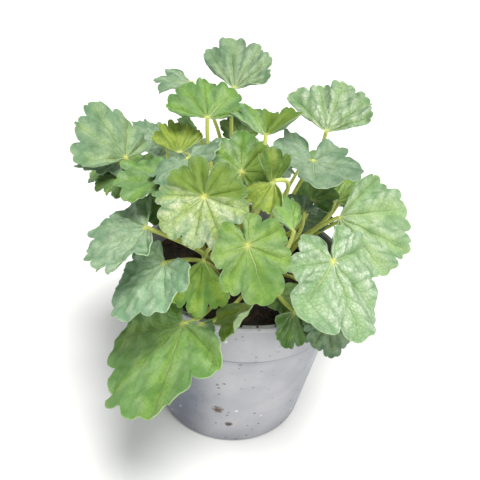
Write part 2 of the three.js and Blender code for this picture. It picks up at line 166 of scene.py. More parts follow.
# Camera, as fitted to the pot's rim and base: degrees, millimetres of lens, millimetres aside
LOOK_DOWN = 34
ROLL = 5.7
LENS = 48.3
SENSOR = 36
ASIDE = -2.6

# Every leaf: node, joint of stalk and blade (mm), heading, rise and bank of the midrib (degrees),
# length (mm), half angle of the blade and its droop (degrees), lobes, teeth to a lobe, cut between lobes,
# how much shorter its hindmost lobes are, sideways bow of the stalk (mm), how light the leaf is (partly
# its own tone, partly painted shade on dark inner leaves and painted light on leaves in shadow), how
# much silver it carries and how far its green leans to yellow
LEAVES = [
    ("front_low_left", (-25.7, -67.2, 110.2), 215, -36, 8, 53, 116, 10, 5, 3, 0.07, 0.6, 0, 1.08, 0.08, 0.15),
    ("left_front_grey", (-36, -61, 140), 224, -36, 15, 32, 120, 10, 5, 3, 0.1, 0.56, -2, 1.26, 0.35, 0.0),
    ("left_outer_grey", (-46, -51, 152), 192, -22, 0, 34, 105, 12, 7, 3, 0.1, 0.56, 0, 1.1, 0.35, 0.1),
    ("center_left_mottled", (-20, -56, 174), 258, -45, -4, 24.5, 179, 10, 9, 3, 0.15, 0.3, 0,
     0.94, 0.7, 0.75),
    ("inner_dark", (0, 36, 120), 92, 40, 0, 22, 120, 10, 5, 2, 0.16, 0.56, 0, 0.6, 0.1, 0.3),
    ("center_bright", (1, -72.2, 161.8), 312, -48, 5, 26, 173, 10, 7, 3, 0.2, 0.5, 0, 0.85, 0.15, 0.3),
    ("right_large", (41, -55, 146), 300, -42, -15, 40, 165, 10, 7, 3, 0.12, 0.56, 8, 1.05, 1.0, 0.0),
    ("right_outer", (47, -12, 144), 348, -12, 33, 42, 84, 10, 5, 3, 0.1, 0.56, 0, 1.07, 0.5, 0.2),
    ("right_upper_wide", (29.5, -9, 173), 275, -6, -10, 27, 165, -12, 7, 3, 0.12, 0.25, -4, 0.9, 0.25, 0.0),
    ("top_right", (36, 10.8, 180.4), 70, 34, 0, 34, 68, 12, 5, 3, 0.08, 0.56, 4, 1.0, 0.85, 0.1),
    ("top_mid_right", (5, -6, 183), 85, 8, -8, 25, 80, 0, 5, 3, 0.16, 0.56, 0, 0.95, 0.25, 0.2),
    ("center_top", (-5, -22, 170), 102, 45, 10, 20.5, 162, -10, 7, 3, 0.14, 0.45, 0, 0.92, 0.3, 0.35),
    ("center_right_small", (22, -45, 154), 135, 30, 20, 20, 60, 0, 3, 3, 0.16, 0.56, -6, 1.0, 0.2, 0.2),
    ("top_center_left", (-25, 5, 184), 98, 28, 0, 27, 90, 5, 5, 3, 0.12, 0.56, 0, 0.98, 0.05, 0.12),
    ("top_leaf", (-14, 28, 192), 64, 35, 0, 32, 68, 5, 5, 3, 0.16, 0.56, 0, 0.95, 0.25, 0.25),
    ("top_left_small", (-38, 45, 187), 178, 0, -15, 21, 50, 5, 3, 3, 0.16, 0.56, -4, 1.0, 0.2, 0.1),
    ("left_upper", (-63, -11.7, 165.8), 142, 42, 4, 31.5, 92, 10, 5, 3, 0.1, 0.55, 2, 1.0, 0.1, 0.35),
    ("left_mid", (-41, -29, 166), 186, -5, 0, 26, 115, 10, 5, 3, 0.12, 0.56, 0, 1.0, 0.15, 0.05),
    ("left_center_blue", (-31, -24.2, 175.4), 275, 8, 30, 26, 160, 5, 7, 3, 0.14, 0.56, 0, 1.0, 0.15, 0.0),
    ("left_young", (-37, -5, 168), 108, 25, 0, 21, 60, 5, 5, 3, 0.16, 0.56, 0, 1.0, 0.0, 0.6),
    ("lower_center", (-19, -48.6, 135.2), 266, -55, 0, 28, 50, 10, 3, 3, 0.18, 0.56, 0, 1.5, 0.05, 0.6),
    ("right_back_pale", (50, 14, 138), 42, 15, 0, 26, 110, 10, 7, 2, 0.16, 0.56, 0, 1.05, 0.5, 0.3),
    ("right_fold", (46, 4, 144), 50, 35, 0, 17, 90, 0, 5, 2, 0.16, 0.56, 0, 1.0, 0.2, 0.5),
    ("right_inner_dark", (33, -4, 147), 50, 25, 0, 17, 110, 10, 5, 2, 0.16, 0.56, 0, 0.75, 0.1, 0.2),
    ("center_right_dark", (28, -17, 148), 128, 20, 0, 13, 130, 10, 5, 2, 0.16, 0.56, 0, 0.65, 0.1, 0.0),
    ("right_under_blue", (34, 24, 118), 0, 10, 0, 18, 115, 10, 5, 2, 0.16, 0.56, 0, 0.8, 0.2, 0.0),
    ("low_small_pale", (-17, -66, 110), 290, -19, 0, 8.5, 120, 0, 5, 2, 0.16, 0.56, 14, 0.9, 0.4, 0.1),
    ("front_curl", (7, -58, 121), 232, -40, 40, 24, 50, 0, 3, 3, 0.16, 0.56, -9, 1.15, 0.4, 0.1),
    ("right_low_dark", (20, -40, 111), 330, -10, 0, 17, 110, 10, 5, 2, 0.16, 0.56, -2, 0.7, 0.1, 0.1),
    ("right_low_mid", (27, -55, 114), 318, -63, 0, 20, 110, 10, 7, 3, 0.16, 0.56, 0, 0.8, 0.2, 0.0),
    ("right_low_outer", (45, -52, 109), 288, -50, 0, 19, 150, 10, 7, 3, 0.16, 0.56, 6, 0.9, 0.3, 0.2),
    ("behind_left_grey", (-48, 20, 159), 168, 30, 0, 22, 110, 5, 7, 2, 0.16, 0.56, 0, 1.0, 0.4, 0.0),
    ("dark_behind_left", (-32, 32, 164), 184, 30, 0, 14, 80, 5, 5, 2, 0.16, 0.56, -6, 0.6, 0.1, 0.2),
    ("dark_top_mid", (-8, 32, 164), 120, 30, 0, 15, 110, 5, 5, 2, 0.16, 0.56, 0, 0.6, 0.1, 0.4),
    ("left_under_blue", (-71, -3, 159), 196, -5, 0, 20, 110, 10, 7, 2, 0.16, 0.56, -6, 0.75, 0.1, 0.0),
    ("left_low_dark", (-61, -14, 159), 210, -20, 0, 19, 80, 10, 7, 2, 0.16, 0.56, 4, 0.8, 0.1, 0.3),
    ("left_under_mid", (-39, -26, 152), 206, -20, 0, 18, 130, 10, 5, 2, 0.16, 0.56, -4, 0.8, 0.1, 0.2),
    ("center_young", (10, -41, 177), 235, -40, 0, 17, 62, 0, 5, 2, 0.16, 0.56, 3, 1.0, 0.0, 0.7),
    ("center_young_fold", (10, -33, 170), 100, 52, 10, 18, 40, 0, 3, 3, 0.16, 0.56, -8, 0.75, 0.0, 0.9),
    ("back_left_high", (-40, 55, 138), 140, -5, 0, 30, 145, 10, 7, 2, 0.16, 0.56, 0, 1.0, 0.3, 0.1),
    ("back_left_low", (-30, 75, 120), 118, -30, 5, 32, 145, 10, 7, 2, 0.16, 0.56, 0, 0.9, 0.2, 0.2),
    ("back_mid_high", (-5, 62, 126), 95, 33, 0, 29, 145, 10, 7, 2, 0.16, 0.56, 0, 1.0, 0.6, 0.1),
    ("back_mid_low", (5, 80, 122), 88, -40, 0, 34, 145, 10, 7, 2, 0.16, 0.56, 0, 0.9, 0.3, 0.0),
    ("back_right_high", (30, 55, 138), 55, -5, 0, 30, 145, 10, 7, 2, 0.16, 0.56, 0, 1.0, 0.2, 0.2),
    ("back_right_low", (45, 65, 118), 50, -35, 5, 30, 145, 10, 7, 2, 0.16, 0.56, 0, 0.9, 0.3, 0.0),
    ("side_right", (65, 25, 128), 20, -20, 0, 26, 145, 10, 7, 2, 0.16, 0.56, 0, 0.95, 0.2, 0.2),
    ("side_left", (-72, 30, 138), 155, -20, 0, 28, 145, 10, 7, 2, 0.16, 0.56, 0, 0.95, 0.2, 0.2),
    ("side_right_low", (55, -5, 114), 5, -35, 0, 22, 145, 10, 7, 2, 0.16, 0.56, 0, 0.85, 0.2, 0.0),
    ("side_left_low", (-64, -8, 124), 186, -35, 0, 26, 145, 10, 7, 2, 0.16, 0.56, 0, 0.9, 0.5, 0.0),
]
LEAF_COLUMNS = (
    "name joint heading rise bank length spread droop lobes teeth cut taper bow light silver warmth"
).split()

# Leaves longer on one side, leaves folded along the midrib (degrees), and leaves with one side painted
# in darker olive as shade, with the direction of that side from the midrib (degrees)
SKEWS = {
    "right_large": 0.12, "right_upper_wide": 0.06, "top_right": 0.12, "top_leaf": 0.3, "left_upper": 0.16,
}
FOLDS = {
    "right_large": -10, "right_upper_wide": 8, "top_mid_right": 22, "center_top": 8,
    "center_right_small": 15, "front_curl": 30, "center_young_fold": 30,
}
SHADED_SIDES = {"center_left_mottled": 180, "center_top": -110, "top_mid_right": -70}


def shade(code):
    """Six hex digits of a colour as the linear red, green and blue that Blender mixes."""
    parts = [int(code[i:i + 2], 16) / 255 for i in (0, 2, 4)]
    return tuple(p / 12.92 if p <= 0.04045 else ((p + 0.055) / 1.055) ** 2.4 for p in parts)


def colour_property(name, description, code):
    """A colour that the user can change, with its alpha left out."""
    return bpy.props.FloatVectorProperty(
        name=name, description=description, subtype="COLOR", size=3, min=0, max=1, default=shade(code)
    )


def length_property(name, description, millimetres):
    """A length that the user can change, given here in millimetres."""
    return bpy.props.FloatProperty(
        name=name, description=description, subtype="DISTANCE", unit="LENGTH",
        precision=5, min=0, default=millimetres * MM,
    )


def count_property(name, description, default, least=0):
    """A whole number that the user can change."""
    return bpy.props.IntProperty(name=name, description=description, min=least, default=default)


def light_property(name, description, default, subtype="NONE"):
    """The strength of a light that the user can change."""
    return bpy.props.FloatProperty(
        name=name, description=description, subtype=subtype, min=0, default=default
    )


class CoralBellsSizes(bpy.types.PropertyGroup):
    """Sizes of what is finer here than in the solids"""

    blade_thickness: length_property("Blade thickness", "Thickness of a leaf's blade", 0.5)
    stalk_root: length_property("Stalk at its root", "Radius of a stalk where it leaves the crown", 1.25)
    stalk_tip: length_property("Stalk at its joint", "Radius of a stalk where it meets its blade", 1.0)
    vein_groove: length_property("Vein groove", "How deep a main vein lies in its blade", 0.75)
    quilting: length_property("Quilting", "How far the blade rises between its side veins", 0.75)
    side_vein_spacing: length_property("Side vein spacing", "Distance from one side vein to the next", 6.5)
    pot_sides: count_property("Pot sides", "How many flats the round pot is turned with", 144, least=24)
    crumbs: count_property("Soil crumbs", "How many crumbs of bark lie on the soil", 420)
    fibres: count_property("Soil fibres", "How many fine brown fibres lie on the soil", 70)
    seed: count_property("Seed", "Start of the random draws", 11)


class CoralBellsColours(bpy.types.PropertyGroup):
    """Colours of the leaves, pot and soil"""

    leaf_green: colour_property("Mid green leaf", "Blade of a mid green leaf", "7cab56")
    leaf_blue: colour_property("Blue leaf", "Blade of a blue-green leaf", "9ab6a0")
    leaf_silver: colour_property("Silver leaf", "Blade of a leaf with silver between its veins", "a5c197")
    leaf_bright: colour_property("Bright leaf", "Blade of a bright leaf", "8cba58")
    leaf_young: colour_property("Young leaf", "Blade of a young yellow leaf", "b0bd45")
    warm_green: colour_property("Warm green", "Green that the warmer leaves lean to", "abbd45")
    # Painted shade on one side of a few leaves
    olive: colour_property("Olive shaded side", "Darker side of the leaves that have one", "6f8c30")
    silver: colour_property("Silver marking", "Pale patches between the veins", "d9e3d2")
    cream: colour_property("Cream marking", "Pale patches on the warmer leaves", "e2e3b4")
    vein: colour_property("Veins", "Main veins seen from above", "c6d79c")
    margin: colour_property("Leaf margin", "Thin edge of a blade", "bccb98")
    joint: colour_property("Joint", "Blade where it meets its stalk", "d0d474")
    underside: colour_property("Underside", "Blade seen from below", "9db894")
    stalk: colour_property("Stalk", "Stalk near its blade", "c6d268")
    stalk_foot: colour_property("Stalk foot", "Stalk near the crown", "877a3e")
    pot: colour_property("Pot plastic", "Light grey plastic of the pot", "b2b2b7")
    scuff: colour_property("Scuffs", "Pale scuffs on the pot", "e4e4e6")
    pot_dirt: colour_property("Dirt on the pot", "Dried soil on the pot", "70594a")
    soil: colour_property("Soil", "Damp potting soil", "2a211b")
    bark: colour_property("Bark", "Brown bits in the soil", "5e3f2c")


class CoralBellsStudio(bpy.types.PropertyGroup):
    """Camera and light"""

    camera_height: length_property("Camera height", "Height of the camera over the floor", 316.0)
    camera_back: length_property("Camera distance", "Distance of the camera before the pot's middle", 297.1)
    key_strength: light_property("Key light", "Strength of the large soft light", 3.4)
    fill_power: light_property("Fill light", "Power of the light in front", 12.0, subtype="POWER")
    sky: light_property("Surround", "Strength of the pale light all round", 0.45)


# Making meshes


def select_only(*pieces):
    """Selects these objects alone and makes the first one active."""
    bpy.ops.object.select_all(action="DESELECT")
    for piece in pieces:
        piece.select_set(True)
    bpy.context.view_layer.objects.active = pieces[0]


def points_of(piece):
    """Places of a mesh's points as rows of x, y, z."""
    found = np.zeros(len(piece.data.vertices) * 3, np.float32)
    piece.data.vertices.foreach_get("co", found)
    return found.reshape(-1, 3).astype(float)


def put_points(piece, points):
    """Moves a mesh's points to these places."""
    piece.data.vertices.foreach_set("co", np.asarray(points, np.float32).ravel())
    piece.data.update()


def write_values(piece, name, values):
    """Keeps one number or three at each point of a mesh under a name that its material reads."""
    values = np.asarray(values, np.float32)
    kind, field = ("FLOAT", "value") if values.ndim == 1 else ("FLOAT_VECTOR", "vector")
    layer = piece.data.attributes.get(name) or piece.data.attributes.new(name, kind, "POINT")
    layer.data.foreach_set(field, values.ravel())


def apply_modifier(piece, kind, **settings):
    """Adds a modifier to a piece and applies it."""
    select_only(piece)
    added = piece.modifiers.new(kind.title(), kind)
    for key, value in settings.items():
        setattr(added, key, value)
    bpy.ops.object.modifier_apply(modifier=added.name)


def merge_doubles(piece, distance=1e-6):
    """Merges points that lie on each other, so that seams and poles close."""
    select_only(piece)
    bpy.ops.object.mode_set(mode="EDIT")
    bpy.ops.mesh.select_all(action="SELECT")
    bpy.ops.mesh.remove_doubles(threshold=distance)
    bpy.ops.object.mode_set(mode="OBJECT")


def smooth(piece, degrees):
    """Shades a piece smooth where its faces meet at less than an angle."""
    select_only(piece)
    bpy.ops.object.shade_smooth_by_angle(angle=math.radians(degrees))


def dress(piece, material):
    """Gives a piece one material."""
    piece.data.materials.clear()
    piece.data.materials.append(material)


def new_object(name, data):
    """A new object in the scene, with a mesh, curve, light or camera in it."""
    made = bpy.data.objects.new(name, data)
    bpy.context.collection.objects.link(made)
    return made


def joined(pieces):
    """These objects made one."""
    select_only(*pieces)
    bpy.ops.object.join()
    return pieces[0]


def finish_piece(piece, name, slot, *nodes):
    """Names a piece, ties it to the plant's body and hides the solids of the nodes it stands for."""
    piece.name = name
    piece.data.name = name
    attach(piece, "root")
    if nodes:
        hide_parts(*nodes)


def turned_wall(name, profile, sides):
    """A round closed wall: a ring of points, extruded and sized along a profile of radius and height."""
    bpy.ops.object.select_all(action="DESELECT")
    bpy.ops.mesh.primitive_circle_add(vertices=sides, radius=profile[0][0] * MM, calc_uvs=False)
    wall = bpy.context.object
    wall.name = name
    bpy.ops.object.mode_set(mode="EDIT")
    bpy.ops.mesh.select_all(action="SELECT")
    bpy.ops.transform.translate(value=(0, 0, profile[0][1] * MM))
    for (radius, height), (next_radius, next_height) in zip(profile, profile[1:]):
        rise = (0, 0, (next_height - height) * MM)
        bpy.ops.mesh.extrude_edges_move(TRANSFORM_OT_translate={"value": rise})
        growth = next_radius / radius
        bpy.ops.transform.resize(value=(growth, growth, 1), center_override=(0, 0, 0))
    bpy.ops.mesh.edge_face_add()
    bpy.ops.object.mode_set(mode="OBJECT")
    for index, vertex in enumerate(wall.data.vertices):
        vertex.select = index < sides
    for edge in wall.data.edges:
        edge.select = max(edge.vertices) < sides
    for face in wall.data.polygons:
        face.select = False
    bpy.ops.object.mode_set(mode="EDIT")
    bpy.ops.mesh.select_mode(type="VERT")
    bpy.ops.mesh.edge_face_add()
    bpy.ops.mesh.select_all(action="SELECT")
    bpy.ops.mesh.normals_make_consistent(inside=False)
    bpy.ops.object.mode_set(mode="OBJECT")
    return wall


# Materials


class Field:
    """A value that changes over a surface: a node's output, reckoned with through Math nodes."""

    def __init__(self, wires, socket):
        self.wires = wires
        self.socket = socket

    def math(self, operation, *others):
        return self.wires.math(operation, self, *others)

    def __add__(self, other):
        return self.math("ADD", other)

    def __sub__(self, other):
        return self.math("SUBTRACT", other)

    def __rsub__(self, other):
        return self.wires.math("SUBTRACT", other, self)

    def __mul__(self, other):
        return self.math("MULTIPLY", other)

    def __truediv__(self, other):
        return self.math("DIVIDE", other)

    def __abs__(self):
        return self.math("ABSOLUTE")

    def clamped(self):
        """The same value, held between 0 and 1."""
        self.socket.node.use_clamp = True
        return self

    def step(self, low, high, start=0.0, end=1.0):
        """A smooth change from start to end where the value goes from low to high."""
        sockets = {0: self, 1: low, 2: high, 3: start, 4: end}
        return self.wires.field("ShaderNodeMapRange", 0, sockets, interpolation_type="SMOOTHSTEP")


class Wiring:
    """Lays shader nodes in one tree and joins their sockets."""

    def __init__(self, tree):
        self.tree = tree

    def node(self, kind, sockets=None, **settings):
        made = self.tree.nodes.new(kind)
        count = len(self.tree.nodes)
        made.location = (190 * (count % 10), -260 * (count // 10))
        for key, value in settings.items():
            setattr(made, key, value)
        for key, value in (sockets or {}).items():
            self.feed(made.inputs[key], value)
        return made

    def feed(self, socket, value):
        if isinstance(value, Field):
            self.tree.links.new(value.socket, socket)
        elif socket.type == "RGBA":
            socket.default_value = (*value[:3], 1.0)
        else:
            socket.default_value = value

    def field(self, kind, output, sockets=None, **settings):
        return Field(self, self.node(kind, sockets, **settings).outputs[output])

    def fields(self, outputs):
        return [Field(self, socket) for socket in outputs]

    def math(self, operation, *values):
        return self.field("ShaderNodeMath", 0, dict(enumerate(values)), operation=operation)

    def mix(self, share, first, second):
        sockets = {0: share, 6: first, 7: second}
        return self.field("ShaderNodeMix", 2, sockets, data_type="RGBA", clamp_factor=True)

    def paint(self, colour, *coats):
        """Lays coats over a colour in turn, each a share of the surface and its own colour."""
        for share, coat in coats:
            colour = self.mix(share, colour, coat)
        return colour

    def noise(self, place, scale, detail=2.0, roughness=0.5):
        sockets = {"Vector": place, "Scale": scale, "Detail": detail, "Roughness": roughness}
        return self.field("ShaderNodeTexNoise", "Fac", sockets)

    def vector(self, operation, *values, output="Vector"):
        return self.field("ShaderNodeVectorMath", output, dict(enumerate(values)), operation=operation)

    def attribute(self, name, output="Vector"):
        settings = {"attribute_name": name, "attribute_type": "GEOMETRY"}
        return self.field("ShaderNodeAttribute", output, **settings)

    def place(self):
        return self.field("ShaderNodeTexCoord", "Object")

    def split(self, vector):
        return self.fields(self.node("ShaderNodeSeparateXYZ", {0: vector}).outputs)

    def group(self, tree, **sockets):
        made = self.node("ShaderNodeGroup")
        made.node_tree = tree
        for key, value in sockets.items():
            self.feed(made.inputs[key.replace("_", " ").title()], value)
        return self.fields(made.outputs)

    def close_group(self, *values):
        """Puts the values out of a node group, in the order of its outputs."""
        for socket, value in zip(self.node("NodeGroupOutput").inputs, values):
            self.feed(socket, value)
        return self.tree


def new_group(name, inputs, outputs):
    """A node group with these named inputs and outputs: its wiring, and what it is given."""
    tree = bpy.data.node_groups.new(name, "ShaderNodeTree")
    for label, value in inputs.items():
        kind = "NodeSocketVector" if isinstance(value, tuple) else "NodeSocketFloat"
        tree.interface.new_socket(label, in_out="INPUT", socket_type=kind).default_value = value
    for label in outputs:
        tree.interface.new_socket(label, in_out="OUTPUT", socket_type="NodeSocketFloat")
    wires = Wiring(tree)
    given = wires.fields(wires.node("NodeGroupInput").outputs)
    return wires, given[:len(inputs)]


def new_material(name, settings=None):
    """A material with its Principled shader, whose plain values are set on its own sockets."""
    material = bpy.data.materials.new(name)
    material.use_nodes = True
    shader = material.node_tree.nodes["Principled BSDF"]
    for key, value in (settings or {}).items():
        shader.inputs[key].default_value = value
    return material, Wiring(material.node_tree), shader.inputs


def feed_shader(wires, shader, colour, roughness, height, depth, strength=1.0):
    """Gives a shader its colour, its roughness and a fine relief as deep as this in millimetres."""
    relief = {"Strength": strength, "Distance": depth * MM, "Height": height}
    wires.feed(shader["Base Color"], colour)
    wires.feed(shader["Roughness"], roughness)
    wires.feed(shader["Normal"], wires.field("ShaderNodeBump", "Normal", relief))


def leaf_veins_group():
    """Veins of a blade from where each point lies on it, in millimetres."""
    outputs = ["Main", "Halo", "Side", "Net", "Patches", "Share", "Outward", "Relief"]
    wires, (spacing,) = new_group("Leaf Veins", {"Side Spacing": 6.5}, outputs)
    lobe, arc, share = wires.split(wires.attribute("leaf_place"))
    plane = wires.attribute("leaf_plane")
    wobble = wires.noise(plane, 0.11) - 0.5
    bent_lobe = wobble * 0.1 + lobe
    from_vein = bent_lobe - bent_lobe.math("ROUND")
    beside = abs(from_vein) * arc
    outward = wires.vector("LENGTH", wires.vector("MULTIPLY", plane, (1, 1, 0)), output="Value")

    # Main veins, thinner and fainter outwards
    width = share * -0.4 + 0.6
    main = beside.step(width, width * 0.35) * share.step(1.0, 0.15, 0.25, 1.0)
    halo = abs(from_vein).step(0.42, 0.04)

    # Side veins, half a spacing apart on the two sides of their main vein
    turn = from_vein.math("GREATER_THAN", 0.0) * 0.5
    run = wobble * 3.0 + (beside * -VEIN_SLANT + outward)
    away = (run / spacing + turn).math("PINGPONG", 0.5) * spacing
    side = away.step(0.55, 0.1) * outward.step(4.0, 9.0)
    side_halo = away.step(2.0, 0.3)

    # Net of the finest veins
    cells = {"Vector": plane, "Scale": 0.5}
    net = wires.field("ShaderNodeTexVoronoi", "Distance", cells, feature="DISTANCE_TO_EDGE").step(0.14, 0.02)

    # Pale patches, in clouds and outward streaks, between the veins
    streak = wires.field("ShaderNodeCombineXYZ", 0, {0: lobe * 2.6, 1: share})
    own_streak = wires.vector("ADD", streak, wires.vector("MULTIPLY", plane, (0, 0, 1)))
    clouds = wires.noise(plane, 0.2, 3.0, 0.6) * 0.6 + wires.noise(own_streak, 1.7) * 0.4
    between = (1.0 - halo).clamped() * (side_halo * -0.75 + 1.0)
    patches = between * (clouds.step(0.44, 0.6) * 0.7 + 0.3)

    relief = net * 0.2 + (side * 0.25 + main)
    return wires.close_group(main, halo, side, net, patches, share, outward, relief)


def speckle_group():
    """Fine specks: a few cells of a cell pattern, each with a spot of its own size."""
    inputs = {"Vector": (0, 0, 0), "Scale": 300.0, "Amount": 0.2}
    wires, (place, scale, amount) = new_group("Speckles", inputs, ["Specks"])
    cells = wires.node("ShaderNodeTexVoronoi", {"Vector": place, "Scale": scale}).outputs
    distance, colour = wires.fields([cells["Distance"], cells["Color"]])
    draws = wires.split(colour)
    size = draws[1] * 0.22 + 0.1
    return wires.close_group(draws[0].math("LESS_THAN", amount) * distance.step(size, size * 0.6))


def grain_group():
    """Uneven fine grain between 0 and 1 for roughness and relief."""
    inputs = {"Vector": (0, 0, 0), "Scale": 500.0}
    wires, (place, scale) = new_group("Fine Grain", inputs, ["Grain", "Cloud"])
    fine = wires.noise(place, scale, 3.0, 0.6)
    cloud = wires.noise(place, scale * 0.06, 3.0, 0.55)
    return wires.close_group(fine.step(0.3, 0.7), cloud.step(0.35, 0.65))


class Finishes:
    """The plant's materials, each built once with the colours that the user set."""

    def __init__(self, colours, sizes):
        self.colours = colours
        self.sizes = sizes
        self.veins = leaf_veins_group()
        self.specks = speckle_group()
        self.grain = grain_group()
        self.stalk = self.stalk_material()
        self.blades = {}

    def blade(self, slot):
        if slot not in self.blades:
            self.blades[slot] = self.blade_material(slot, getattr(self.colours, slot))
        return self.blades[slot]

    def blade_material(self, slot, blade):
        """Blade green with pale veins and net, silver patches, a pale margin, a yellow joint and painted
        sheen and shade.
        """
        material, wires, shader = new_material(slot, {"Specular IOR Level": 0.35})
        veins = wires.group(self.veins, side_spacing=self.sizes.side_vein_spacing / MM)
        main, halo, side, net, patches, share, outward, relief = veins
        light, silver, warmth = wires.split(wires.attribute("leaf_tone"))
        top, olive = wires.attribute("leaf_top", "Fac"), wires.attribute("leaf_shaded_side", "Fac")
        plane = wires.attribute("leaf_plane")
        colours = self.colours
        deep = [0.3 * blade[0], 0.46 * blade[1], 0.38 * blade[2]]
        cool = [0.5 * own + 0.36 * blue for own, blue in zip(blade, colours.leaf_blue)]

        near_edge = share.step(0.1, 0.8) * 0.6 + 0.4
        broad = wires.noise(plane, 0.075, 3.0, 0.55)
        middling = wires.noise(wires.vector("ADD", plane, (31, 17, 5)), 0.2, 3.0, 0.6)
        fine = wires.noise(plane, 0.9, 3.0, 0.6)
        between = (1.0 - halo).clamped() * near_edge
        lean = ((broad - 0.5) * 1.1 + ((middling - 0.5) * 1.5 + between)).clamped()
        # Painted sheen: pale gleaming patches, stronger on the silver leaves
        painted_sheen = broad.step(0.5, 0.36, 0.0, 0.4) * (silver * 0.7 + 0.35).clamped()
        outer = share.step(0.25, 0.75) * silver.step(0.0, 0.6, 0.3, 1.0)
        colour = wires.paint(
            blade,
            # Green that leans to yellow by the leaf's warmth, and to blue between its main veins
            (warmth * 0.9 + 0.08, colours.warm_green),
            (lean * (warmth * -0.9 + 1.0), cool),
            # Broad dark areas, painted sheen, painted shade in the folds between lobes and a fine mottle
            (broad.step(0.48, 0.64, 0.0, 0.7) * near_edge, deep),
            (painted_sheen * near_edge, colours.silver),
            # Painted shade in the folds between lobes
            (halo.step(0.35, 0.0, 0.0, 0.6) * share.step(0.3, 0.8), deep),
            (fine.step(0.4, 0.65, 0.0, 0.32), deep),
            # Silver or cream patches, with the net and the side veins green through them
            (patches * silver, wires.mix(warmth, colours.silver, colours.cream)),
            (net * (silver * 0.36 + 0.08), deep),
            (side * (silver * 0.22 + 0.06), deep),
            # Main veins, the painted olive shade on one side, the margin and the joint
            (main * 0.7, wires.mix(outer, colours.vein, deep)),
            (olive * 0.9, colours.olive),
            (share.step(0.8, 0.96, 0.0, 0.25), deep),
            (share.step(0.985, 1.0, 0.0, 0.3), colours.margin),
            (outward.step(2.8, 0.8, 0.0, 0.7), colours.joint),
            (top * -0.65 + 0.65, colours.underside),
        )
        # The leaf's lightness scales its colour: partly its own tone, partly painted shade and painted light
        shaded = wires.vector("SCALE", colour)
        wires.feed(shaded.socket.node.inputs["Scale"], light)
        grain, _ = wires.group(self.grain, vector=plane, scale=1.6)
        roughness = main * -0.08 + (grain * 0.16 + 0.52)
        height = grain * 0.32 + relief * (top * -2.0 + 1.0)
        feed_shader(wires, shader, shaded, roughness, height, 0.4, 0.9)
        return material

    def stalk_material(self):
        """Yellow-green stalk, browner towards the crown, with fine lengthwise streaks and down."""
        material, wires, shader = new_material("stalk", {"Sheen Weight": 0.2, "Sheen Roughness": 0.4})
        place = wires.place()
        streaks = wires.noise(wires.vector("MULTIPLY", place, (900, 900, 90)), 1.0, 3.0, 0.6)
        browner = wires.attribute("stalk_way", "Fac").step(0.55, 0.05)
        colour = wires.paint(
            self.colours.stalk,
            (browner + streaks.step(0.45, 0.75, 0.0, 0.3), self.colours.stalk_foot),
            (streaks.step(0.3, 0.6, 0.0, 0.25), self.colours.joint),
        )
        grain, _ = wires.group(self.grain, vector=place, scale=1500.0)
        feed_shader(wires, shader, colour, grain * 0.2 + 0.45, streaks * 0.6 + grain, 0.12, 0.6)
        return material

    def pot_material(self):
        """Light grey plastic with faint clouds, soil specks, splashes and two dried patches, with painted
        shade at its sides, foot and band.
        """
        material, wires, shader = new_material("pot_plastic")
        colours = self.colours
        place = wires.place()
        across, _, height = wires.split(place)
        grain, cloud = wires.group(self.grain, vector=place, scale=700.0)
        # Darker bluish grey, for the faint clouds and for the painted shade
        cloud_and_shade_colour = [0.29 * colours.pot[0], 0.33 * colours.pot[1], 0.4 * colours.pot[2]]
        # Much darker still: the painted shade line in the band's step, and grime splashes
        grime_and_shade = [0.3 * part for part in cloud_and_shade_colour]

        def specks(scale, amount):
            return wires.group(self.specks, vector=place, scale=scale, amount=amount)[0]

        # Painted shade: a painted shadow darkens the left side, painted shade darkens a little to the right
        # and at the foot, and a painted shadow lies under the band
        left_shadow = across.step(0.0, -0.022) * height.step(0.08, 0.05, 0.35, 1.0)
        left_shadow = left_shadow * across.step(-0.02, -0.042, 0.72, 0.5)
        right_shade = across.step(0.026, 0.044, 0.0, 0.35)
        foot_shade = height.step(0.02, 0.0, 0.0, 0.35)
        dark = left_shadow.math("MAXIMUM", right_shade.math("MAXIMUM", foot_shade))
        below_line = BAND_LINE * MM - height
        under_band_shadow = below_line.math("GREATER_THAN", 0.0) * below_line.step(6 * MM, 0.0, 0.0, 0.3)
        colour = wires.paint(
            colours.pot,
            # Painted shadow on the left, painted shade to the right and at the foot, over faint clouds
            ((cloud * 0.22 + dark).clamped(), cloud_and_shade_colour),
            # Painted shadow under the band
            (under_band_shadow, cloud_and_shade_colour),
            # Painted shade in the crease of the band's step
            (abs(below_line).step(1.5 * MM, 0.3 * MM, 0.0, 0.6), grime_and_shade),
            (specks(210.0, 0.07) * 0.6, colours.scuff),
            (specks(270.0, 0.22) * across.step(0.02, -0.02, 0.25, 0.7), grime_and_shade),
        )

        # Soil: specks that grow thicker downwards, the dried patches and dust on the rim
        dirt = specks(330.0, 0.2).math("MAXIMUM", specks(150.0, 0.08)) * height.step(0.085, 0.03, 0.35, 0.9)
        ragged = wires.noise(place, 560.0, 5.0, 0.8)
        for centre, radius in POT_PATCHES:
            far = wires.vector("DISTANCE", place, [c * MM for c in centre], output="Value")
            near = far.step(radius * MM, 0.15 * radius * MM)
            dirt = dirt.math("MAXIMUM", (near * ragged).step(0.2, 0.55))
        rim_dust = height.step(0.101, 0.104) * ragged.step(0.5, 0.68, 0.0, 0.5)
        dirt = dirt.math("MAXIMUM", rim_dust)
        black = [0.25 * part for part in colours.pot_dirt]
        earth = wires.mix(ragged.step(0.4, 0.65), colours.pot_dirt, black)
        roughness = dirt * 0.35 + (grain * 0.12 + 0.42)
        feed_shader(wires, shader, wires.mix(dirt, colour, earth), roughness, dirt * 2.0 + grain, 0.08, 0.35)
        return material

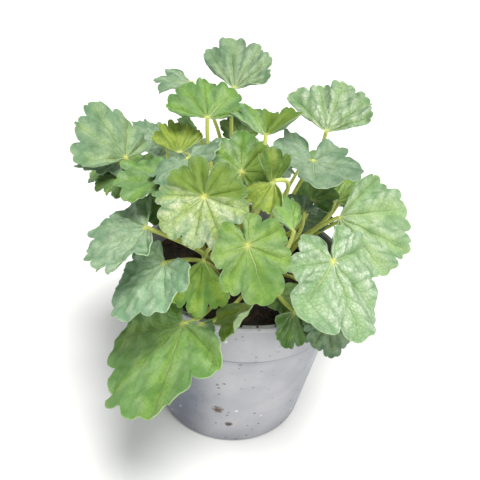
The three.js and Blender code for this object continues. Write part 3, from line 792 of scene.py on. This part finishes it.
    def soil_material(self, name, bark_share):
        """Near-black damp soil flecked with brown bark."""
        material, wires, shader = new_material(name)
        soil = self.colours.soil
        place = wires.place()
        grain, cloud = wires.group(self.grain, vector=place, scale=900.0)
        flecks = wires.noise(place, 260.0, 4.0, 0.65).step(0.5, 0.64, 0.0, bark_share)
        colour = wires.paint(soil, (cloud, [0.4 * part for part in soil]), (flecks, self.colours.bark))
        feed_shader(wires, shader, colour, grain * 0.3 + 0.65, flecks * 0.5 + grain, 0.5)
        return material


# Pot, soil and crown


def pot_radius(height):
    """Outer radius of the pot's wall at a height, both in millimetres."""
    band_foot_radius = RIM_RADIUS - RIM_WIDTH
    taper = (band_foot_radius - BAND_STEP - BASE_RADIUS) / BAND_FOOT
    if height <= BAND_FOOT:
        return BASE_RADIUS + taper * height
    return band_foot_radius + taper * BAND_TAPER_SHARE * (height - BAND_FOOT)


def pot_profile():
    """Outline of the pot's wall from the middle of its base, over the lip and down its inside."""
    lip_foot = POT_HEIGHT - LIP_DEPTH
    outer = pot_radius(BAND_FOOT)
    inner_top = pot_radius(POT_HEIGHT) - POT_WALL
    edge = LIP_ROUND / 2
    foot = BASE_RADIUS - FOOT_CHAMFER
    wall_heights = (FOOT_CHAMFER, FOOT_CHAMFER + 1, BAND_FOOT / 2, BAND_FOOT - 1)
    band_heights = (BAND_FOOT + 2, lip_foot - 1, lip_foot)
    return [
        (BASE_HUB, 0),
        (foot - 4, 0),
        (foot, 0),
        (BASE_RADIUS - FOOT_CHAMFER / 2, FOOT_CHAMFER * 0.35),
        *((pot_radius(height), height) for height in wall_heights),
        (outer, BAND_FOOT - 0.1),
        (outer + BAND_STEP * 0.8, BAND_FOOT + 0.1),
        (outer + BAND_STEP, BAND_FOOT + BAND_STEP / 2),
        *((pot_radius(height), height) for height in band_heights),
        (RIM_RADIUS - edge, lip_foot + edge / 2),
        (RIM_RADIUS, lip_foot + LIP_ROUND),
        (RIM_RADIUS, POT_HEIGHT - LIP_ROUND),
        (RIM_RADIUS - 0.3 * edge, POT_HEIGHT - 0.5 * edge),
        (RIM_RADIUS - LIP_ROUND, POT_HEIGHT),
        (inner_top + edge, POT_HEIGHT),
        (inner_top, POT_HEIGHT - edge),
        (outer + BAND_STEP - POT_WALL, BAND_FOOT + BAND_STEP),
        (outer - POT_WALL, BAND_FOOT),
        (pot_radius(BASE_THICKNESS) - POT_WALL, BASE_THICKNESS),
        (BASE_HUB, BASE_THICKNESS),
    ]


def round_place(radius, angle):
    """A point round the pot's middle as x and y."""
    return radius * math.cos(angle), radius * math.sin(angle)


def make_pot(sizes, finishes):
    """The turned pot with its drain holes cut through the base."""
    pot = turned_wall("pot_wall", pot_profile(), sizes.pot_sides)
    for index in range(DRAIN_HOLES):
        middle = (*round_place(DRAIN_CIRCLE * MM, 2 * math.pi * index / DRAIN_HOLES), 0)
        bpy.ops.object.select_all(action="DESELECT")
        bpy.ops.mesh.primitive_cylinder_add(
            vertices=32, radius=DRAIN_RADIUS * MM, depth=6 * BASE_THICKNESS * MM, location=middle
        )
        drill = bpy.context.object
        apply_modifier(pot, "BOOLEAN", operation="DIFFERENCE", solver="EXACT", object=drill)
        bpy.data.objects.remove(drill)
    smooth(pot, 35)
    dress(pot, finishes.pot_material())
    finish_piece(pot, "pot_wall", "pot_plastic", "pot")


def soil_edge():
    """Radius of the pot's inside at the soil's surface, in millimetres."""
    return pot_radius(SOIL_TOP) - POT_WALL


def soil_height(radius, angle):
    """Height of the soil's surface in millimetres, with its broad lumps."""
    edge = radius / soil_edge()
    outwards = radius / 5
    lumps = math.sin(3 * angle) * math.sin(outwards) + math.sin(7 * angle + outwards) / 2
    return SOIL_TOP + SOIL_LUMPS * lumps * (1 - edge)


def bumps(x, y, height, pitch, layer):
    """Rise and fall of a rough surface at a place."""
    return height * noise.noise(Vector((x * pitch, y * pitch, layer)))


def soil_grain(x, y):
    """Small rise and fall of the soil's surface in millimetres."""
    return sum(bumps(x, y, *layer) for layer in SOIL_BUMPS)


def make_soil(sizes, finishes):
    """Soil that fills the pot: smooth against the wall, crumbly on top, with the crown's hole."""
    gap = POT_WALL + CLEARANCE
    hole = CROWN_RADIUS + CLEARANCE
    wall = pot_radius(SOIL_TOP) - gap
    profile = [(SOIL_HUB, CROWN_BOTTOM - CLEARANCE), (hole, CROWN_BOTTOM - CLEARANCE)]
    profile += [(hole + (wall - hole) * k / SOIL_RINGS, SOIL_TOP) for k in range(SOIL_RINGS + 1)]
    profile += [
        (pot_radius(BAND_FOOT) + BAND_STEP - gap, BAND_FOOT + BAND_STEP + CLEARANCE),
        (pot_radius(BAND_FOOT) - gap, BAND_FOOT - CLEARANCE),
        (pot_radius(BASE_THICKNESS) - gap, BASE_THICKNESS + CLEARANCE),
        (SOIL_HUB, BASE_THICKNESS + CLEARANCE),
    ]
    soil = turned_wall("soil_bed", profile, sizes.pot_sides)
    points = points_of(soil)
    for point in points:
        if abs(point[2] - SOIL_TOP * MM) < 0.01 * MM:
            x, y = point[0] / MM, point[1] / MM
            radius, angle = math.hypot(x, y), math.atan2(y, x)
            fade = min(1.0, (wall - radius) / SOIL_WALL_FADE)
            point[2] = (soil_height(radius, angle) + fade * soil_grain(x, y)) * MM
    put_points(soil, points)
    smooth(soil, 60)
    dress(soil, finishes.soil_material("soil", 0.5))
    finish_piece(soil, "soil_bed", "soil", "soil")


def scattered_place(draw):
    """A random place on the open soil: x, y and the height of the surface there, in millimetres."""
    furthest = soil_edge() - CRUMB_WALL_GAP
    radius = math.sqrt(draw.uniform((CROWN_RADIUS + 1) ** 2, furthest ** 2))
    angle = draw.uniform(0, 2 * math.pi)
    x, y = round_place(radius, angle)
    return x, y, soil_height(radius, angle) + soil_grain(x, y)


def make_crumbs(sizes, finishes):
    """Crumbs of bark on the soil: one rough lump, copied, turned and sized, each with its own mesh."""
    draw = random.Random(sizes.seed)
    bpy.ops.object.select_all(action="DESELECT")
    bpy.ops.mesh.primitive_ico_sphere_add(subdivisions=1, radius=MM, calc_uvs=False)
    lump = bpy.context.object
    apply_modifier(lump, "BEVEL", width=0.25 * MM, segments=1, limit_method="NONE")
    rough = points_of(lump)
    for point in rough:
        point *= 1 + CRUMB_ROUGHNESS * noise.noise(Vector(point / MM * CRUMB_PITCH))
    put_points(lump, rough)
    copies = []

    def add_crumb(x, y, z, shape):
        copies.append(new_object("crumb", lump.data.copy()))
        copies[-1].data.transform(Matrix.Translation((x, y, z)) @ shape)

    for _ in range(sizes.crumbs):
        x, y, z = scattered_place(draw)
        size = CRUMB_SIZE[0] + CRUMB_SIZE[1] * draw.random() ** 2
        length = size * draw.uniform(*CRUMB_LENGTH)
        shape = Matrix.Diagonal((length, size, size * draw.uniform(*CRUMB_HEIGHT), 1))
        heading = Matrix.Rotation(draw.uniform(0, 2 * math.pi), 4, "Z")
        tilt = Matrix.Rotation(draw.uniform(-CRUMB_TILT, CRUMB_TILT), 4, "X")
        add_crumb(x * MM, y * MM, (z + 0.3 * size) * MM, heading @ tilt @ shape)
    for angle, inward, size in RIM_CRUMBS:
        x, y = round_place((RIM_RADIUS - inward) * MM, math.radians(angle))
        shape = Matrix.Diagonal((size * 1.3, size, size * 0.6, 1))
        add_crumb(x, y, (POT_HEIGHT + 0.2 * size) * MM, shape)
    bpy.data.objects.remove(lump)
    crumbs = joined(copies)
    dress(crumbs, finishes.soil_material("soil_crumbs", 0.85))
    finish_piece(crumbs, "soil_crumbs", "soil")


def tube_from(name, points, radii, handles=None, steps=6, roundness=1):
    """A closed tapering tube along points, through a curve that is then made a mesh."""
    curve = bpy.data.curves.new(name, "CURVE")
    curve.dimensions = "3D"
    curve.bevel_depth = 1.0
    curve.bevel_resolution = roundness
    curve.use_fill_caps = True
    curve.resolution_u = steps
    line = curve.splines.new("BEZIER")
    line.bezier_points.add(len(points) - 1)
    for index, (knot, point, radius) in enumerate(zip(line.bezier_points, points, radii)):
        knot.co = point
        knot.radius = radius
        knot.handle_left_type = knot.handle_right_type = "FREE" if handles else "AUTO"
        if handles:
            knot.handle_left, knot.handle_right = handles[index]
    select_only(new_object(name, curve))
    bpy.ops.object.convert(target="MESH")
    tube = bpy.context.object
    merge_doubles(tube)
    return tube


def make_fibres(sizes, finishes):
    """Fine brown fibres that lie in loose bends on the soil."""
    draw = random.Random(sizes.seed + 1)
    fibres = []
    for _ in range(sizes.fibres):
        x, y, z = scattered_place(draw)
        heading = draw.uniform(0, 2 * math.pi)
        points = []
        for _ in range(FIBRE_POINTS):
            points.append((x * MM, y * MM, (z + draw.uniform(*FIBRE_LIFT)) * MM))
            heading += draw.uniform(-FIBRE_TURN, FIBRE_TURN)
            ahead_x, ahead_y = round_place(draw.uniform(*FIBRE_STRIDE), heading)
            x, y = x + ahead_x, y + ahead_y
            if math.hypot(x, y) > soil_edge() - FIBRE_WALL_GAP:
                break
        if len(points) < 2:
            continue
        thin = draw.uniform(*FIBRE_RADIUS) * MM
        fibres.append(tube_from("fibre", points, [thin] * len(points), steps=3, roundness=0))
    piece = joined(fibres)
    dress(piece, finishes.soil_material("soil_fibres", 1.0))
    finish_piece(piece, "soil_fibres", "soil")


def crown_height(radius):
    """Height of the crown's dome at a radius, both in millimetres."""
    return CROWN_TOP - CROWN_DROP * (radius / CROWN_RADIUS) ** 2


def make_crown(finishes):
    """The woody crown: the solid's dome, made knobbly."""
    profile = [(CROWN_HUB, CROWN_BOTTOM), (CROWN_RADIUS * 0.7, CROWN_BOTTOM)]
    profile.append((CROWN_RADIUS, CROWN_BOTTOM + CROWN_SHOULDER))
    rings = [CROWN_RADIUS * k / CROWN_RINGS for k in range(CROWN_RINGS, 0, -1)]
    profile += [(radius, crown_height(radius)) for radius in rings]
    crown = turned_wall("crown_dome", profile, CROWN_SIDES)
    points = points_of(crown)
    for point in points:
        if point[2] > (CROWN_BOTTOM + KNOBS_START) * MM:
            x, y, z = point / MM
            knobs = bumps(x, y, *CROWN_KNOBS, z * 0.2)
            point[2] += (knobs + bumps(x, y, *CROWN_BARK) - CROWN_SINK) * MM
    put_points(crown, points)
    smooth(crown, 60)
    dress(crown, finishes.soil_material("crown_wood", 0.9))
    finish_piece(crown, "crown_dome", "crown_wood", "crown")


# Leaves


def leaf_roots(leaves):
    """Root of each stalk: a socket of the crown on its leaf's side, traded as in the solids."""
    sockets = []
    for k in range(len(leaves)):
        radius = SOCKET_SPACING * math.sqrt(k + 0.5)
        x, y = round_place(radius, math.radians(GOLDEN_TURN * k))
        sockets.append(Vector((x, y, crown_height(radius) - SOCKET_DEPTH)))

    def miss(leaf, socket):
        x = leaf["joint"].x * ROOT_LEAN - socket.x
        y = leaf["joint"].y * ROOT_LEAN - socket.y
        return x * x + y * y

    traded = True
    while traded:
        traded = False
        for i, one in enumerate(leaves):
            for j in range(i + 1, len(leaves)):
                now = miss(one, sockets[i]) + miss(leaves[j], sockets[j])
                then = miss(one, sockets[j]) + miss(leaves[j], sockets[i])
                if then < now - 1e-6:
                    sockets[i], sockets[j] = sockets[j], sockets[i]
                    traded = True
    return sockets


def blade_axes(leaf, bank):
    """Midrib, side and upward directions of a blade."""
    h, r, b = math.radians(leaf["heading"]), math.radians(leaf["rise"]), math.radians(bank)
    midrib = Vector((math.cos(h) * math.cos(r), math.sin(h) * math.cos(r), math.sin(r)))
    level = Vector((-math.sin(h), math.cos(h), 0))
    above = midrib.cross(level)
    return midrib, level * math.cos(b) + above * math.sin(b), above * math.cos(b) - level * math.sin(b)


def lobe_place(leaf, angle):
    """Where an angle lies in lobes from the midrib, some lobes being wider than others."""
    lobe = np.degrees(angle) / (2 * leaf["spread"] / leaf["lobes"])
    inside = 1 - (2 * np.abs(lobe) / leaf["lobes"]) ** 4
    return lobe + LOBE_SHIFT * inside * np.sin(2.6 * lobe + 1.9 * leaf["index"])


def round_notch(share, cut, roundness):
    """Radius left beside a notch: full and round to near it, then steep."""
    return 1 - cut * (1 - np.sqrt(1 - np.clip(2 * share, 0, 1) ** roundness))


def edge_distance(leaf, angle):
    """Distance from the joint to the edge in shares of the length: round lobes with round teeth."""
    degrees = np.degrees(angle)
    lobe = lobe_place(leaf, angle)
    in_lobe = np.abs(lobe - np.round(lobe))
    tooth = lobe * leaf["teeth"]
    in_tooth = np.abs(tooth - np.round(tooth))
    taper = 1 - leaf["taper"] * (np.abs(degrees) / FULL_SPREAD) ** TAPER_POWER
    lobe_notch = round_notch(in_lobe, NOTCH_DEPTH * leaf["cut"], LOBE_ROUNDNESS)
    tooth_notch = round_notch(in_tooth, TOOTH_CUT, TOOTH_ROUNDNESS)
    uneven = 1 + LOBE_UNEVENNESS * np.sin(2.3 * np.round(lobe) + 1.7 * leaf["index"])
    to_end = leaf["lobes"] / 2 - np.abs(lobe)
    corner = 1 - CORNER_CUT * np.clip(1 - to_end / 0.38, 0, 1) ** 2.2
    skewed = 1 + SKEWS.get(leaf["name"], 0) * np.sin(angle)
    return taper * lobe_notch * tooth_notch * skewed * uneven * corner


def blade_relief(leaf, angle, share, lobe, outward, arc, sizes):
    """Rise of a blade's surface in millimetres: veins, pillows between them, ripples and dents."""
    in_lobe = lobe - np.round(lobe)
    beside = np.abs(in_lobe) * arc
    turn = leaf["index"]

    # Grooves over the main veins, and pillows between the side veins
    groove = sizes.vein_groove / MM * np.exp(-(beside / GROOVE_WIDTH) ** 2) * (1 - share ** 3)
    groove = groove * np.clip(outward / 4, 0, 1)
    phase = (outward - VEIN_SLANT * beside) / (sizes.side_vein_spacing / MM) + 0.5 * (in_lobe > 0)
    pillow = np.abs(np.sin(math.pi * phase)) ** 0.8 * (1 - np.exp(-(beside / QUILT_WIDTH) ** 2))
    pillow = pillow * np.clip((0.5 - np.abs(in_lobe)) / 0.12, 0, 1) * (1 - 0.6 * share ** 4)

    # Ripples of the teeth, slow swells of the margin and dents all over
    ripple = RIPPLE * share ** 6 * np.sin(math.pi * lobe * leaf["teeth"] + turn)
    swell = 0.6 * np.sin(3.3 * angle + 1.3 * turn) + 0.45 * np.sin(7.1 * angle + 2.9 * turn)
    swell = SWELL * leaf["length"] * share ** 1.6 * swell
    x, y = outward * np.cos(angle), outward * np.sin(angle)
    dents = np.sin(0.42 * x + 0.9 * turn) * np.sin(0.38 * y + 1.7 * turn)
    dents = 0.8 * dents + 0.45 * np.sin(0.8 * x - 0.5 * y + turn) * np.sin(0.7 * y + 0.4 * x)
    dents = dents * np.clip(outward / 8, 0, 1)
    return sizes.quilting / MM * pillow - groove + ripple + swell + dents


def blade_surface(leaf, angle, share, sizes):
    """Places of a blade's middle surface in metres, what its material reads there, and which way is up."""
    length, turn = leaf["length"], leaf["index"]
    lobe = lobe_place(leaf, angle)
    rho = share * edge_distance(leaf, angle)
    along, across = rho * np.cos(angle), rho * np.sin(angle)
    outward = rho * length
    arc = outward * math.radians(2 * leaf["spread"] / leaf["lobes"])
    relief = blade_relief(leaf, angle, share, lobe, outward, arc, sizes)

    fold = math.tan(math.radians(FOLDS.get(leaf["name"], 0)))
    lift = RUFFLE * share ** RUFFLE_GROWTH * (0.5 - 0.5 * np.cos(2 * math.pi * lobe))
    lift = lift + FLANK * share ** FLANK_GROWTH * np.sin(2 * math.pi * lobe)
    lift = lift + fold * (np.hypot(across, FOLD_ROUND) - FOLD_ROUND)
    lift = lift + WAVE * share ** 2 * np.sin(2 * angle + WAVE_TURN * turn) + relief / length
    bend = math.radians(leaf["droop"] or LEAST_DROOP)
    curl = bend * along
    forward = np.sin(curl) / bend + lift * np.sin(curl)
    upward = -(1 - np.cos(curl)) / bend + lift * np.cos(curl)
    midrib, side, up = (np.array(axis) for axis in blade_axes(leaf, leaf["bank"]))
    places = np.array(leaf["joint"]) + length * (
        forward[:, None] * midrib + across[:, None] * side + upward[:, None] * up
    )
    # Painted shade: one side of a few leaves is darkened to olive
    toward = SHADED_SIDES.get(leaf["name"])
    olive = np.zeros_like(angle) if toward is None else np.cos(angle - math.radians(toward))
    values = {
        "leaf_place": np.stack([lobe, arc, share], 1),
        "leaf_plane": np.stack([along * length, across * length, np.full_like(along, 7.0 * turn)], 1),
        "leaf_shaded_side": np.clip((olive + 0.08) / 0.3, 0, 1),
        "leaf_tone": np.tile((leaf["light"], leaf["silver"], leaf["warmth"]), (len(angle), 1)),
    }
    return places * MM, values, up


def make_blade(leaf, sizes, material):
    """A blade: a flat grid bent round its joint, merged there and given its thickness."""
    fineness = LONG_LEAF_COLUMNS if leaf["length"] > LONG_LEAF else SHORT_LEAF_COLUMNS
    columns = leaf["lobes"] * leaf["teeth"] * fineness
    rows = max(ROWS[0], min(ROWS[1], round(leaf["length"] / ROW_LENGTH)))
    bpy.ops.object.select_all(action="DESELECT")
    bpy.ops.mesh.primitive_grid_add(x_subdivisions=columns, y_subdivisions=rows, size=1, calc_uvs=False)
    blade = bpy.context.object
    flat = points_of(blade)
    angle = (2 * flat[:, 0]) * math.radians(leaf["spread"])
    share = np.clip(flat[:, 1] + 0.5, 0, 1)
    places, values, up = blade_surface(leaf, angle, share, sizes)
    put_points(blade, places)
    for name, numbers in values.items():
        write_values(blade, name, numbers)
    merge_doubles(blade)
    normals = np.zeros(len(blade.data.polygons) * 3, np.float32)
    blade.data.polygons.foreach_get("normal", normals)
    if (normals.reshape(-1, 3) @ up).mean() < 0:
        bpy.ops.object.mode_set(mode="EDIT")
        bpy.ops.mesh.select_all(action="SELECT")
        bpy.ops.mesh.flip_normals()
        bpy.ops.object.mode_set(mode="OBJECT")
    count = len(blade.data.vertices)
    apply_modifier(blade, "SOLIDIFY", thickness=sizes.blade_thickness, offset=0)
    points = points_of(blade)
    rise = (points[count:2 * count] - points[:count]) @ up
    top = np.zeros(len(points))
    top[count:2 * count] = 1
    if rise.mean() < 0:
        top = 1 - top
    write_values(blade, "leaf_top", top)
    dress(blade, material)
    return blade


def make_stalk(leaf, root, sizes, material):
    """A stalk on the solid's curve: up and outwards from its root, then into the joint from below."""
    joint = leaf["joint"]
    midrib, _, up = blade_axes(leaf, 0)
    reach = (joint - root).length * STALK_REACH
    outward = Vector((joint.x - root.x, joint.y - root.y, 0))
    lean = outward.length / (joint - root).length
    outward.normalize()
    sideways = Vector((-outward.y, outward.x, 0)) * leaf["bow"]
    leaving = (Vector((0, 0, 1)) + outward * STALK_SPLAY * lean).normalized()
    arriving = (up * STALK_ENTRY_UP + midrib * STALK_ENTRY_ALONG).normalized()
    first = root + leaving * reach + sideways
    second = joint - arriving * reach + sideways
    ends = [root * MM, joint * MM]
    handles = [(2 * root * MM - first * MM, first * MM), (second * MM, 2 * joint * MM - second * MM)]
    stalk = tube_from(
        "stalk", ends, [sizes.stalk_root, sizes.stalk_tip], handles=handles, steps=18, roundness=2
    )
    points = points_of(stalk)
    far = np.linalg.norm(points - np.array(joint) * MM, axis=1)
    write_values(stalk, "stalk_way", np.clip(1 - far / far.max(), 0, 1))
    dress(stalk, material)
    return stalk


def make_leaves(sizes, finishes):
    """All leaves, each one piece of blade and stalk that stands for its own node."""
    slots = {row["node"]: row["material_slot"] for row in frame["record"]["subparts"]}
    leaves = [dict(zip(LEAF_COLUMNS, row), index=index) for index, row in enumerate(LEAVES)]
    for leaf in leaves:
        leaf["joint"] = Vector(leaf["joint"])
    for leaf, root in zip(leaves, leaf_roots(leaves)):
        name, slot = leaf["name"], slots[leaf["name"]]
        blade = make_blade(leaf, sizes, finishes.blade(slot))
        joined([blade, make_stalk(leaf, root, sizes, finishes.stalk)])
        smooth(blade, 50)
        finish_piece(blade, name + "_leaf", slot, name)


# Stage


def soft_light(name, kind, place, target, power, tint, **softness):
    """A soft light that shines from a place at a target."""
    data = bpy.data.lights.new(name, kind)
    data.energy = power
    data.color = tint
    for key, value in softness.items():
        setattr(data, key, value)
    lamp = new_object(name, data)
    lamp.location = place
    lamp.rotation_euler = (Vector(target) - Vector(place)).to_track_quat("-Z", "Y").to_euler()


def make_floor():
    """Pale floor of uneven white paper."""
    bpy.ops.object.select_all(action="DESELECT")
    bpy.ops.mesh.primitive_grid_add(x_subdivisions=8, y_subdivisions=8, size=12, location=(0, 0, 0))
    floor = bpy.context.object
    floor.name = "floor"
    material, wires, shader = new_material("floor_paper", {"Roughness": 0.9})
    cloud = wires.noise(wires.place(), 3.0).step(0.3, 0.7)
    wires.feed(shader["Base Color"], wires.mix(cloud, (0.92, 0.92, 0.92), (0.9, 0.9, 0.9)))
    floor.data.materials.append(material)


def make_lights(studio):
    """Pale surround, a large soft light from above and a weak one in front."""
    scene = bpy.context.scene
    scene.view_settings.view_transform = "Standard"
    world = bpy.data.worlds.new("Pale room")
    world.use_nodes = True
    backdrop = world.node_tree.nodes["Background"].inputs
    backdrop["Color"].default_value = (1.0, 1.0, 1.0, 1.0)
    backdrop["Strength"].default_value = studio.sky
    scene.world = world
    middle = (0, 0, 0.13)
    warm_white, white = (1.0, 0.99, 0.96), (1.0, 1.0, 0.98)
    above, in_front = (0.35, -0.6, 2.4), (1.6, -1.6, 1.0)
    soft_light("key", "SUN", above, middle, studio.key_strength, warm_white, angle=math.radians(28))
    soft_light("fill", "AREA", in_front, middle, studio.fill_power, white, size=1.2)


def make_camera(studio):
    """The camera at the photograph's angle."""
    look_down, roll = math.radians(LOOK_DOWN), math.radians(ROLL)
    ahead = Vector((0, math.cos(look_down), -math.sin(look_down)))
    level_up = Vector((0, math.sin(look_down), math.cos(look_down)))
    level_right = Vector((1, 0, 0))
    right = level_right * math.cos(roll) + level_up * math.sin(roll)
    up = level_up * math.cos(roll) - level_right * math.sin(roll)
    data = bpy.data.cameras.new("camera")
    data.sensor_width = SENSOR
    data.lens = LENS
    data.clip_start = 0.01
    camera = new_object("camera", data)
    turn = Matrix((right, up, -ahead)).transposed().to_4x4()
    turn.translation = Vector((ASIDE * MM, -studio.camera_back, studio.camera_height))
    camera.matrix_world = turn
    bpy.context.scene.camera = camera


# Operators

FINISHES = {}


def making(context):
    """The sizes that the user set and the materials, built when the first piece asks for them."""
    sizes = context.scene.coral_bells_sizes
    if "plant" not in FINISHES:
        FINISHES["plant"] = Finishes(context.scene.coral_bells_colours, sizes)
    return sizes, FINISHES["plant"]


class CORALBELLS_OT_stage(bpy.types.Operator):
    """Adds the floor, the lights and the camera"""

    bl_idname = "coralbells.stage"
    bl_label = "Stage"

    def execute(self, context):
        studio = context.scene.coral_bells_studio
        make_floor()
        make_lights(studio)
        make_camera(studio)
        return {"FINISHED"}


class CORALBELLS_OT_pot(bpy.types.Operator):
    """Turns the pot and cuts its drain holes"""

    bl_idname = "coralbells.pot"
    bl_label = "Pot"

    def execute(self, context):
        make_pot(*making(context))
        return {"FINISHED"}


class CORALBELLS_OT_soil(bpy.types.Operator):
    """Fills the pot with soil"""

    bl_idname = "coralbells.soil"
    bl_label = "Soil"

    def execute(self, context):
        make_soil(*making(context))
        return {"FINISHED"}


class CORALBELLS_OT_litter(bpy.types.Operator):
    """Scatters crumbs of bark and brown fibres on the soil"""

    bl_idname = "coralbells.litter"
    bl_label = "Crumbs and Fibres"

    def execute(self, context):
        make_crumbs(*making(context))
        make_fibres(*making(context))
        return {"FINISHED"}


class CORALBELLS_OT_crown(bpy.types.Operator):
    """Shapes the woody crown"""

    bl_idname = "coralbells.crown"
    bl_label = "Crown"

    def execute(self, context):
        make_crown(making(context)[1])
        return {"FINISHED"}


class CORALBELLS_OT_leaves(bpy.types.Operator):
    """Grows every leaf on its stalk"""

    bl_idname = "coralbells.leaves"
    bl_label = "Leaves"

    def execute(self, context):
        make_leaves(*making(context))
        return {"FINISHED"}


OPERATORS = [
    CORALBELLS_OT_stage,
    CORALBELLS_OT_pot,
    CORALBELLS_OT_soil,
    CORALBELLS_OT_crown,
    CORALBELLS_OT_litter,
    CORALBELLS_OT_leaves,
]


class CORALBELLS_PT_making(bpy.types.Panel):
    """Lists the pieces of the plant and their sizes and colours"""

    bl_idname = "CORALBELLS_PT_making"
    bl_label = "Potted Coral Bells"
    bl_space_type = "VIEW_3D"
    bl_region_type = "UI"
    bl_category = "Coral Bells"

    def draw(self, context):
        for operator in OPERATORS:
            self.layout.operator(operator.bl_idname)
        for group in ("coral_bells_sizes", "coral_bells_colours", "coral_bells_studio"):
            values = getattr(context.scene, group)
            box = self.layout.box()
            for name in values.__annotations__:
                box.prop(values, name)


GROUPS = {
    "coral_bells_sizes": CoralBellsSizes,
    "coral_bells_colours": CoralBellsColours,
    "coral_bells_studio": CoralBellsStudio,
}


def register():
    for group in GROUPS.values():
        bpy.utils.register_class(group)
    for name, group in GROUPS.items():
        setattr(bpy.types.Scene, name, bpy.props.PointerProperty(type=group))
    for operator in OPERATORS:
        bpy.utils.register_class(operator)
    bpy.utils.register_class(CORALBELLS_PT_making)


def unregister():
    bpy.utils.unregister_class(CORALBELLS_PT_making)
    for operator in reversed(OPERATORS):
        bpy.utils.unregister_class(operator)
    for name, group in GROUPS.items():
        delattr(bpy.types.Scene, name)
        bpy.utils.unregister_class(group)


def main():
    register()
    bpy.ops.coralbells.stage()
    bpy.ops.coralbells.pot()
    bpy.ops.coralbells.soil()
    bpy.ops.coralbells.crown()
    bpy.ops.coralbells.litter()
    bpy.ops.coralbells.leaves()
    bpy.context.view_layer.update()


if __name__ == "__main__":
    main()
